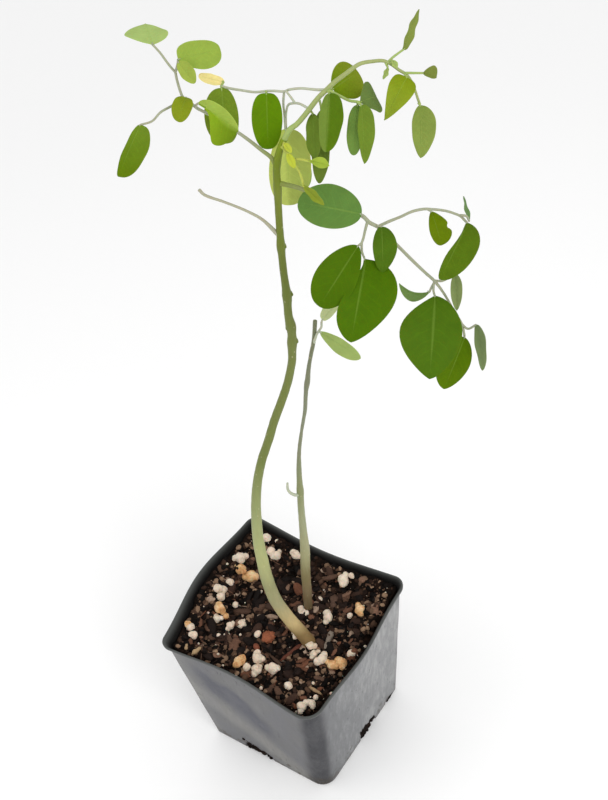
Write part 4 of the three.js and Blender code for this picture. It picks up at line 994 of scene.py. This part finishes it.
def blade_colours(leaf, u, v, shade):
    """A blade's colour at each point, from its stalk to its tip, with a left half of another tint."""
    base, tip, left = (np.array(linear(tint or leaf.tint))
                       for tint in (leaf.tint, leaf.tip_tint, leaf.left_tint))
    along = base + (tip - base) * u[..., None]
    on_left = np.clip(0.5 - v * 4, 0, 1) * bool(leaf.left_tint)
    colours = along + (left - along) * on_left[..., None]
    return (colours * (shade, shade, shade, 1)).reshape(-1, 4)


def blade_mesh(leaflets, name, material, seed, rows=30, columns=17):
    """The blades of a leaf as one piece: closed thin skins with a midrib underneath."""
    draw = random.Random(seed)
    points, faces, tints, under, places = [], [], [], [], []
    for leaf in leaflets:
        grid, face, u, v = blade_surface(leaf, rows, columns, draw)
        normal = unit(np.cross(np.gradient(grid, axis=1), np.gradient(grid, axis=0)))
        normal *= np.where((normal @ face) < 0, -1, 1)[..., None]
        edge = np.sqrt(np.clip(1 - v**2, 0, 1))
        distance = np.linalg.norm(grid - grid[:, columns // 2][:, None], axis=-1)
        rib = np.exp(-((distance / RIB_WIDTH) ** 2)) * (1 - u)
        top = grid + normal * (BLADE_EDGE + BLADE_BODY * edge - RIB_GROOVE * rib)[..., None]
        low = grid - normal * (BLADE_EDGE + BLADE_BODY * edge + RIB_DEPTH * rib)[..., None]
        facing = np.cross(top[1, 0] - top[0, 0], top[0, 1] - top[0, 0]) @ face > 0
        faces.extend(skin_faces(len(points), rows, columns, facing))
        points.extend(to_pot_frame(top).reshape(-1, 3))
        points.extend(to_pot_frame(low).reshape(-1, 3))
        colours = blade_colours(leaf, u, v, draw.uniform(0.98, 1.02))
        tints.extend([*colours, *colours])
        under.extend([0] * u.size + [1] * u.size)
        place = np.stack([(v + 1) / 2, u], axis=-1).reshape(-1, 2)
        places.extend([*place, *place])
    made = object_from(name, points, faces, material)
    store(made, "tint", "FLOAT_COLOR", tints)
    store(made, "underside", "FLOAT", under)
    layer = made.data.uv_layers.new(name="blade")
    corners = np.empty(len(made.data.loops), dtype=np.int32)
    made.data.loops.foreach_get("vertex_index", corners)
    layer.data.foreach_set("uv", np.asarray(places, dtype=np.float32)[corners].ravel())
    return made


def frond(name, stalks, leaflets, node, seed, material, tints=(), tint=STALK_GREY):
    """A compound leaf, in place of a node: its blades, and its stalks in their own tints."""
    blades = blade_mesh(leaflets, name + "_blades", material, seed)
    own, joints = [], []
    for leaf in leaflets:
        radii = np.linspace(0.5, 0.42, len(leaf.stalk))
        own.append([(*place, radius) for place, radius in zip(leaf.stalk, radii)])
        # The stalk goes on a little way under the blade
        inside = np.array(leaf.stalk[-1]) * 0.93 + np.array(leaf.tip) * 0.07
        joints.append([(*leaf.stalk[-1], 0.4), (*inside, 0.36)])
    paths = [*stalks, *own, *joints]
    own_tints = [leaf.stalk_tint or tint for leaf in leaflets]
    tints = [*tints, *[tint] * (len(stalks) - len(tints)), *own_tints, *own_tints]
    rods = stems.grow(chains(paths, tints, 0.8), name + "_stalks", Sides=9,
                      Bumps=0.05 * MM, Bump_size=1.5 * MM, Material=stalk_paint)
    for piece in (blades, rods):
        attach(piece, "root")
        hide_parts(node)


# Pot


def pot_ring(z, inset, arc_steps=8, side_steps=36):
    """The pot's outline at a height, set in from the wall's outside, as points in millimetres."""
    rise = z / POT_HEIGHT
    places, radii = [], []
    for rim, base, bend in zip(RIM_CORNERS, BASE_CORNERS, LIP_BENDS):
        x, y, radius = (low + (high - low) * rise for low, high in zip(base, rim))
        place = Vector((x - math.copysign(1, x) * inset, y - math.copysign(1, y) * inset))
        places.append(place + Vector(bend) * max(-inset, 0) / LIP_REACH)
        radii.append(max(radius - inset, 1))
    points = []
    for k, (reach, peak, spread) in enumerate(SIDE_BOWS):
        place, after, before = places[k], places[(k + 1) % 4], places[k - 1]
        onward, backward = (after - place).normalized(), (before - place).normalized()
        middle = place + (onward + backward) * radii[k]
        for i in range(arc_steps + 1):
            angle = i / arc_steps * math.pi / 2
            points.append(middle - (onward * math.cos(angle) + backward * math.sin(angle)) * radii[k])
        start, stop = place + onward * radii[k], after - onward * radii[(k + 1) % 4]
        for i in range(1, side_steps + 1):
            t = i / (side_steps + 1)
            swell = reach * rise**1.5 * math.sin(math.pi * t) * math.exp(-(((t - peak) / spread) ** 2))
            points.append(start.lerp(stop, t) + Vector((onward.y, -onward.x)) * swell)
    return [(p.x, p.y, z) for p in points]


def lofted(name, rings, material, bottom=None, top=None):
    """Rings of equal counts, joined from first to last, with a middle point at each end if given."""
    count = len(rings[0])
    points = [p for ring in rings for p in ring]
    faces = []
    for k in range(len(rings) - 1):
        for i in range(count):
            a, b = k * count + i, k * count + (i + 1) % count
            faces.append((a, b, b + count, a + count))
    last = (len(rings) - 1) * count
    if bottom:
        points.append(bottom)
        faces.extend((len(points) - 1, (i + 1) % count, i) for i in range(count))
    if top:
        points.append(top)
        faces.extend((len(points) - 1, last + i, last + (i + 1) % count) for i in range(count))
    return object_from(name, np.array(points) * MM, faces, material)


def ragged_cutter(side, middle, width, near_height, far_height, draw):
    """A block with a torn outline that opens a drainage notch at the foot of a side."""
    steps = 14
    outline = [(middle - width / 2, -4)]
    for i in range(steps + 1):
        edge = min(i, steps - i) / steps * 6
        height = near_height + (far_height - near_height) * i / steps
        height *= min(1, 0.35 + edge) * draw.uniform(0.75, 1.1)
        outline.append((middle + width * (i / steps - 0.5) + draw.uniform(-0.3, 0.3), height))
    outline.append((middle + width / 2, -4))
    turn = Matrix.Rotation(side * math.pi / 2, 3, "Z")
    near, far = NOTCH_REACH - NOTCH_DEPTH, NOTCH_REACH + NOTCH_DEPTH
    points = [turn @ Vector((x, y, z)) * MM for x in (far, near) for y, z in outline]
    count = len(outline)
    faces = [tuple(reversed(range(count))), tuple(range(count, 2 * count))]
    faces += [(i, (i + 1) % count, (i + 1) % count + count, i + count) for i in range(count)]
    return object_from("notch_cutter", points, faces)


def nursery_pot(material):
    """The thin-walled pot with its flared lip, and torn notches at the foot."""
    edge = POT_HEIGHT - LIP_DEPTH
    # The wall from the foot up and round the lip: (height, inset)
    outside = [(0, 9), (0, 3), (0, 1.2), (0.25, 0.45), (0.9, 0), (3, 0)]
    outside += [(z, 0) for z in np.linspace(6, edge - 3, 24)]
    outside += [(edge - 1.5, -0.05), (edge - 0.4, -0.3), (edge + 0.1, -0.75), (edge + 0.1, -1.2)]
    outside += [(edge + 0.4, -1.5), (edge + 0.9, -LIP_REACH), (edge + 1.9, -LIP_REACH)]
    outside += [(POT_HEIGHT - 0.4, -1.5), (POT_HEIGHT - 0.1, -1.25), (POT_HEIGHT, -0.95)]
    # Over the rim and down the inside: (height, inset, how far it is from the light, 0 to 1, which sets
    # the painted shade)
    inside = [(POT_HEIGHT - 0.1, -0.65, 0.1), (POT_HEIGHT - 0.6, -0.35, 0.4), (POT_HEIGHT - 1.6, 0.1, 0.8)]
    inside += [(POT_HEIGHT - 2.8, 0.5, 1), (POT_HEIGHT - 4.2, 0.85, 1), (POT_HEIGHT - 6, 1.1, 1)]
    inside += [(z, WALL, 1) for z in np.linspace(POT_HEIGHT - 9, FLOOR + 3, 18)]
    inside += [(FLOOR + 0.8, WALL + 0.25, 1), (FLOOR + 0.1, WALL + 1.1, 1), (FLOOR, WALL + 3, 1)]
    inside += [(FLOOR, WALL + 9, 1)]
    profile = [(z, inset, 0) for z, inset in outside] + inside
    rings = [[dented(p) for p in pot_ring(z, inset)] for z, inset, _ in profile]
    made = lofted("nursery_pot", rings, material, bottom=(0, 0, 0), top=(0, 0, FLOOR))
    # Each point keeps its share of painted shade as inner
    store(made, "inner", "FLOAT", [*np.repeat([dark for _, _, dark in profile], len(rings[0])), 0, 1])
    draw = random.Random(5)
    for notch in NOTCHES:
        cutter = ragged_cutter(*notch, draw)
        cut = made.modifiers.new("notch", "BOOLEAN")
        cut.object = cutter
        cut.solver = "MANIFOLD"
        mesh = evaluated_mesh(made)
        made.modifiers.clear()
        made.data = mesh
        bpy.data.objects.remove(cutter)
    return made


def dented(point):
    """A point of the pot's wall, moved by shallow dents that fade towards foot and rim."""
    x, y, z = point
    fade = math.sin(math.pi * min(1, max(0, z / POT_HEIGHT)))
    dent = 0.3 * noise.noise(Vector((x, y, z * 0.7)) * 0.045) * fade
    size = math.hypot(x, y) or 1
    return (x + x / size * dent, y + y / size * dent, z)


# Potting mix


WALL_LINE = np.array(pot_ring(MIX_LEVEL, WALL + MIX_GAP))


def wall_reach(x, y):
    """How far the pot's inner wall lies from the middle, in the direction of a point."""
    bearings = np.arctan2(WALL_LINE[:, 1], WALL_LINE[:, 0])
    reaches = np.hypot(WALL_LINE[:, 0], WALL_LINE[:, 1])
    return float(np.interp(math.atan2(y, x), bearings, reaches, period=2 * math.pi))


def smooth_step(value, low, high):
    """0 below low, 1 above high, and smooth between."""
    share = min(1, max(0, (value - low) / (high - low)))
    return share * share * (3 - 2 * share)


def back_share(x, y):
    """0 towards the front of the pot, and 1 along its back walls."""
    return smooth_step(y * math.cos(PLANT_TURN) - x * math.sin(PLANT_TURN), *BANK_SIDE)


def mix_height(x, y):
    """The surface of the mix in millimetres: swells, lumps, a lower edge, and a bank at the back walls."""
    swell = 1.1 * math.sin(x * 0.13 + 0.8) * math.cos(y * 0.11 + 0.3)
    lumps = 0.8 * math.sin(x * 0.45 + y * 0.22) * math.sin(y * 0.5 - x * 0.15 + 1.2)
    edge = max(abs(x), abs(y)) / MIX_REACH
    bank = BANK * smooth_step(math.hypot(x, y) / wall_reach(x, y), BANK_START, 1) * back_share(x, y)
    return MIX_LEVEL + swell + lumps - 1.5 * edge**4 + bank


def mix_surface_point(x, y):
    """A point of the rough top that the crumbs lie on."""
    rough = noise.fractal(Vector((x, y, 3)) * 0.26, 0.8, 2.1, 5)
    return (x, y, mix_height(x, y) + 1.5 * rough - 0.5)


def mix_rings(shares):
    """Rings over the top of the mix, each at a share of the way from the middle to the wall."""
    inset = WALL + MIX_GAP + 0.3
    low_line, high_line = pot_ring(MIX_LEVEL, inset), pot_ring(MIX_LEVEL + BANK, inset)
    edge = []
    for (x, y, _), (high_x, high_y, _) in zip(low_line, high_line):
        banked = back_share(x, y)
        edge.append((x + (high_x - x) * banked, y + (high_y - y) * banked))
    return [[mix_surface_point(x * share, y * share) for x, y in edge] for share in shares]


def soil_bed(material):
    """The mix as a body: up the wall, then over its rough top to the middle."""
    inset = WALL + MIX_GAP
    levels = [FLOOR + MIX_GAP, 3.5, 6, 20, 45, 70, 86]
    rings = [pot_ring(z, inset) for z in levels]
    rings += mix_rings(np.linspace(0.995, 0.012, 84))
    bottom = (0, 0, FLOOR + MIX_GAP)
    return lofted("soil_bed", rings, material, bottom=bottom, top=mix_surface_point(0, 0))


def mix_top(reach):
    """The top of the mix alone, to strew things on, out to a share of the way to the wall."""
    return lofted("mix_top", mix_rings(np.linspace(reach, 0.03, 30)), None, top=mix_surface_point(0, 0))


def kept_inside(x, y, room):
    """A place on the mix in the plant's frame, turned into the pot's, with room left to the wall."""
    across, back, _ = to_pot_frame((x, y, 0)) / MM
    limit = wall_reach(across, back) - room
    share = min(1, limit / max(math.hypot(across, back), 1))
    return across * share, back * share


def sized_points(balls):
    """Single points that carry a size, from (x, y, z, size) in millimetres."""
    mesh = bpy.data.meshes.new("grain_points")
    mesh.from_pydata([(x * MM, y * MM, z * MM) for x, y, z, _ in balls], [], [])
    made = bpy.data.objects.new("grain_points", mesh)
    bpy.context.scene.collection.objects.link(made)
    store(made, "size", "FLOAT", [size * MM for *_, size in balls])
    return made


def grain_points(places, seed):
    """The grains on the mix, from (x, y, size) in the plant's frame. A large one is three balls."""
    draw = random.Random(seed)
    balls = []
    for x, y, size in places:
        across, back = kept_inside(x, y, size * 0.6)
        level = mix_height(across, back) + size * 0.25
        if size < 4.4:
            balls.append((across, back, level, size * 1.08))
            continue
        balls.append((across, back, level, size * 0.88))
        bearing = draw.uniform(0, 2 * math.pi)
        for turn in (0, draw.uniform(1.8, 3.2)):
            out = size * draw.uniform(0.36, 0.46)
            part = size * draw.uniform(0.5, 0.66)
            beside = (across + out * math.cos(bearing + turn), back + out * math.sin(bearing + turn))
            balls.append((*beside, level + size * draw.uniform(-0.06, 0.12), part))
    return sized_points(balls)


def wall_place(side, along, height, inset):
    """A point set in from a side of the pot: how far along the side, and how high."""
    turn = Matrix.Rotation(side * math.pi / 2, 3, "Z")
    ring = np.array([turn.transposed() @ Vector(p) for p in pot_ring(height, inset)])
    front = ring[ring[:, 0] > abs(ring[:, 1])]
    front = front[np.argsort(front[:, 1])]
    return turn @ Vector((float(np.interp(along, front[:, 1], front[:, 0])), along, height))


def notch_points():
    """Peat that fills the drainage notches, flush with the wall."""
    draw = random.Random(13)
    balls = []
    for side, middle, width, near_height, far_height in NOTCHES:
        for _ in range(round(width * 3.5)):
            share = draw.random()
            top = near_height + (far_height - near_height) * share
            size = draw.uniform(1.8, 3.6)
            height = draw.uniform(size / 2 + 0.4, max(top, 3))
            inset = size / 2 + draw.uniform(-0.7, 0.5)
            balls.append((*wall_place(side, middle + width * (share - 0.5), height, inset), size))
    return sized_points(balls)


def bark_chips(material):
    """Splintered chips: blocks drawn to ragged ends, cut up finely and roughened."""
    draw = random.Random(8)
    points, faces, tints = [], [], []
    long_steps, round_steps = 22, 14
    for x, y, length, width, thickness, turn, tint in BARK:
        across, back = kept_inside(x, y, length * 0.6)
        level = mix_height(across, back) + thickness * 0.22
        heading = PLANT_TURN + math.radians(turn)
        tilt = draw.uniform(-0.12, 0.12)
        first = len(points)
        for i in range(long_steps + 1):
            t = i / long_steps
            taper = min(1, 4 * t + 0.25, 4 * (1 - t) + 0.3) * (0.85 + 0.15 * math.sin(9 * t + x))
            for j in range(round_steps):
                angle = j / round_steps * 2 * math.pi
                square = 1 / max(abs(math.cos(angle)), abs(math.sin(angle))) ** 0.7
                sideways = math.cos(angle) * square * width / 2 * taper
                upwards = math.sin(angle) * square * thickness / 2 * taper
                ends = 0.9 * noise.noise(Vector((x, j * 0.9, y))) * (1 if t in (0, 1) else 0)
                along = (t - 0.5) * length + ends
                rough = 0.16 * noise.fractal(Vector((along * 0.5, angle * 3, x)), 0.6, 2.2, 4) * width / 2
                sideways, upwards = sideways * (1 + rough), upwards * (1 + rough)
                points.append((
                    (across + along * math.cos(heading) - sideways * math.sin(heading)) * MM,
                    (back + along * math.sin(heading) + sideways * math.cos(heading)) * MM,
                    (level + upwards + along * tilt) * MM,
                ))
                tints.append(linear(tint))
        for i in range(long_steps):
            for j in range(round_steps):
                a, b = first + i * round_steps + j, first + i * round_steps + (j + 1) % round_steps
                faces.append((a, a + round_steps, b + round_steps, b))
        faces.append(tuple(first + j for j in range(round_steps)))
        faces.append(tuple(first + long_steps * round_steps + j for j in reversed(range(round_steps))))
    made = object_from("bark_chips", points, faces, material)
    store(made, "tint", "FLOAT_COLOR", tints)
    return made


# The object


plastic = black_plastic()
pot = nursery_pot(plastic)
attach(pot, "root")
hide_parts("pot")

peat_paint = peat()
bed = soil_bed(peat_paint)
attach(bed, "root")
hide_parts("potting_mix")

strewn = strewn_rule()
crumb_paint = crumb_look()
bark_paint = bark_look()
perlite_paint = perlite_look()
# Name, density, smallest, largest, stretch, tilt, roughness, detail, reach, seed and paint
STREWN = [
    ("peat_crumbs", 0.25, 0.8, 3.6, (1.25, 0.9, 0.7), (0.9, 0.9, 6.3), 0.6, 2, 0.97, 3, crumb_paint),
    ("more_crumbs", 0.25, 0.8, 3.6, (1.25, 0.9, 0.7), (0.9, 0.9, 6.3), 0.6, 2, 0.97, 53, crumb_paint),
    ("bark_scraps", 0.07, 2, 7, (1.6, 0.75, 0.45), (0.8, 0.8, 6.3), 0.7, 3, 0.91, 17, bark_paint),
    ("peat_fibres", 0.07, 2.5, 10, (1.3, 0.07, 0.07), (0.35, 0.35, 6.3), 0.03, 2, 0.9, 29, bark_paint),
    ("perlite_dust", 0.02, 0.6, 1.8, (1, 0.9, 0.85), (3.1, 3.1, 3.1), 0.15, 2, 0.95, 41, perlite_paint),
]
for name, density, smallest, largest, stretch, tilt, rough, detail, reach, seed, paint in STREWN:
    piece = strewn.grow(mix_top(reach), name, Density=density / MM**2, Smallest=smallest * MM,
                        Largest=largest * MM, Stretch=stretch, Tilt=tilt, Roughness=rough * MM,
                        Detail=detail, Seed=seed, Material=paint)
    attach(piece, "root")

grains = grain_rule()
perlite = grains.grow(grain_points(PERLITE, 1), "perlite_grains", Seed=1, Detail=4, Material=perlite_paint)
golden = grains.grow(grain_points(GOLDEN_GRAINS, 2), "golden_grains", Seed=6, Detail=4,
                     Material=golden_look())
torn_soil = grains.grow(notch_points(), "notch_soil", Seed=9, Detail=2, Material=peat_paint)
chips = bark_chips(chip_look())
for piece in (perlite, golden, torn_soil, chips):
    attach(piece, "root")

stems = stem_rule()
stalk_paint = stalk_look()
main_paint = stem_look("green_stem_bark", MAIN_BARK, MAIN_STEM[-1][2])
main_paths = [
    swollen(MAIN_STEM, MAIN_SWELLINGS),
    stub(MAIN_STEM, 300, (1, 0), 1.3, 0.7),
    stub(MAIN_STEM, 309, (-1, 0), 1.1, 0.5),
    stub(MAIN_STEM, 327.5, (1, 0.2), 1.3, 0.8),
    stub(MAIN_STEM, 355, (1, 0), 1.1, 0.6),
]
main = stems.grow(chains(main_paths), "main_stem_bark", Sides=28, Bumps=0.16 * MM,
                  Bump_size=5 * MM, Material=main_paint)
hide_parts("main_stem")
dry = stems.grow(chains([BARE_STALK], [DRY_STALK]), "bare_stalk", Sides=14, Bumps=0.08 * MM,
                 Bump_size=3 * MM, Material=stalk_paint)
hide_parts("main_stem")

second_paint = stem_look("old_stem_bark", SECOND_BARK, SECOND_STEM[-1][2])
second_path = swollen(SECOND_STEM, SECOND_SWELLINGS)
second = stems.grow(chains([second_path]), "second_stem_bark", Sides=22, Bumps=0.14 * MM,
                    Bump_size=4 * MM, Material=second_paint)
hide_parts("second_stem")
hook = stems.grow(chains([HOOK], [(180, 184, 160)]), "hook_stub", Sides=12, Bumps=0.06 * MM,
                  Bump_size=2 * MM, Material=stalk_paint)
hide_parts("second_stem")
for piece, slot in ((main, "green_stem"), (dry, "green_stem"), (second, "old_stem"), (hook, "old_stem")):
    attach(piece, "root")

leaf_paint = leaf_look("leaf_blades")
young_paint = leaf_look("young_blades", veins=0.5)
started = (GREEN_START, STALK_GREY)
frond("left_leaf", LEFT_STALKS, LEFT_LEAFLETS, "leaf_left", 21, leaf_paint, tints=(started,))
frond("upper_leaf", UPPER_STALKS, UPPER_LEAFLETS, "leaf_upper", 22, leaf_paint,
      tints=((STALK_GREEN, (155, 165, 103)), THIN_STALK, STALK_GREEN, THIN_STALK), tint=STALK_GREEN)
frond("lower_right_leaf", LOWER_STALKS, LOWER_LEAFLETS, "leaf_lower_right", 23, leaf_paint,
      tints=(started,))
frond("shoot_tip", YOUNG_STALKS, YOUNG_LEAFLETS, "young_leaf", 24, young_paint,
      tint=(174, 182, 74))
frond("new_shoot", SECOND_SHOOT_STALKS, SECOND_SHOOT_LEAFLETS, "second_shoot", 25,
      young_paint, tint=THIN_STALK)


# Floor, light and camera


def lay_floor():
    """A plain pale floor, painted a little brighter around the plant as a pool of light."""
    look = Finish("pale_floor", Roughness=0.7, Specular_IOR_Level=0.2)
    distance = look.node("ShaderNodeVectorMath", {"operation": "LENGTH"}, {0: look.place}, "Value")
    # Painted light: the floor is whiter near the plant than farther off
    near, far = linear((254, 254, 254)), linear((245, 245, 245))
    colour = look.mix(look.ease(distance, 0.12, 0.6), near, far)
    look.tree.links.new(colour.socket, look.shader.inputs["Base Color"])
    size = 4.0
    corners = [(-size, -size, 0), (size, -size, 0), (size, size, 0), (-size, size, 0)]
    object_from("floor", corners, [(0, 1, 2, 3)], look.material)


def hang_light(name, place, size, power):
    """A soft square light that faces the plant."""
    lamp = bpy.data.lights.new(name, "AREA")
    lamp.size = size
    lamp.energy = power
    made = bpy.data.objects.new(name, lamp)
    made.location = place
    made.rotation_euler = (Vector((0, 0, 0.2)) - Vector(place)).to_track_quat("-Z", "Y").to_euler()
    bpy.context.scene.collection.objects.link(made)


def light_room(strength):
    """Even white light from all sides."""
    world = bpy.data.worlds.new("white_room")
    world.use_nodes = True
    world.node_tree.nodes["Background"].inputs["Color"].default_value = (1, 1, 1, 1)
    world.node_tree.nodes["Background"].inputs["Strength"].default_value = strength
    bpy.context.scene.world = world
    bpy.context.scene.view_settings.view_transform = "Standard"


def set_camera():
    """The camera where the photograph was taken, turned a little about its own axis."""
    azimuth, elevation, roll = (math.radians(a) for a in (CAMERA_AZIMUTH, CAMERA_ELEVATION, CAMERA_ROLL))
    right = Vector((math.cos(azimuth), math.sin(azimuth), 0))
    level = Vector((math.sin(azimuth), -math.cos(azimuth), 0))
    back = level * math.cos(elevation) + Vector((0, 0, math.sin(elevation)))
    up = back.cross(right)
    rolled_right = right * math.cos(roll) - up * math.sin(roll)
    rolled_up = right * math.sin(roll) + up * math.cos(roll)
    lens = bpy.data.cameras.new("camera")
    lens.lens = LENS
    made = bpy.data.objects.new("camera", lens)
    turn = Matrix((rolled_right, rolled_up, back)).transposed().to_4x4()
    made.matrix_world = Matrix.Translation(Vector(CAMERA_PLACE) * MM) @ turn
    bpy.context.scene.collection.objects.link(made)
    bpy.context.scene.camera = made


lay_floor()
light_room(0.86)
hang_light("key_light", (1.1, -0.5, 1.3), 0.9, 9)
hang_light("fill_light", (-1.0, -0.9, 1.2), 1.2, 3)
set_camera()
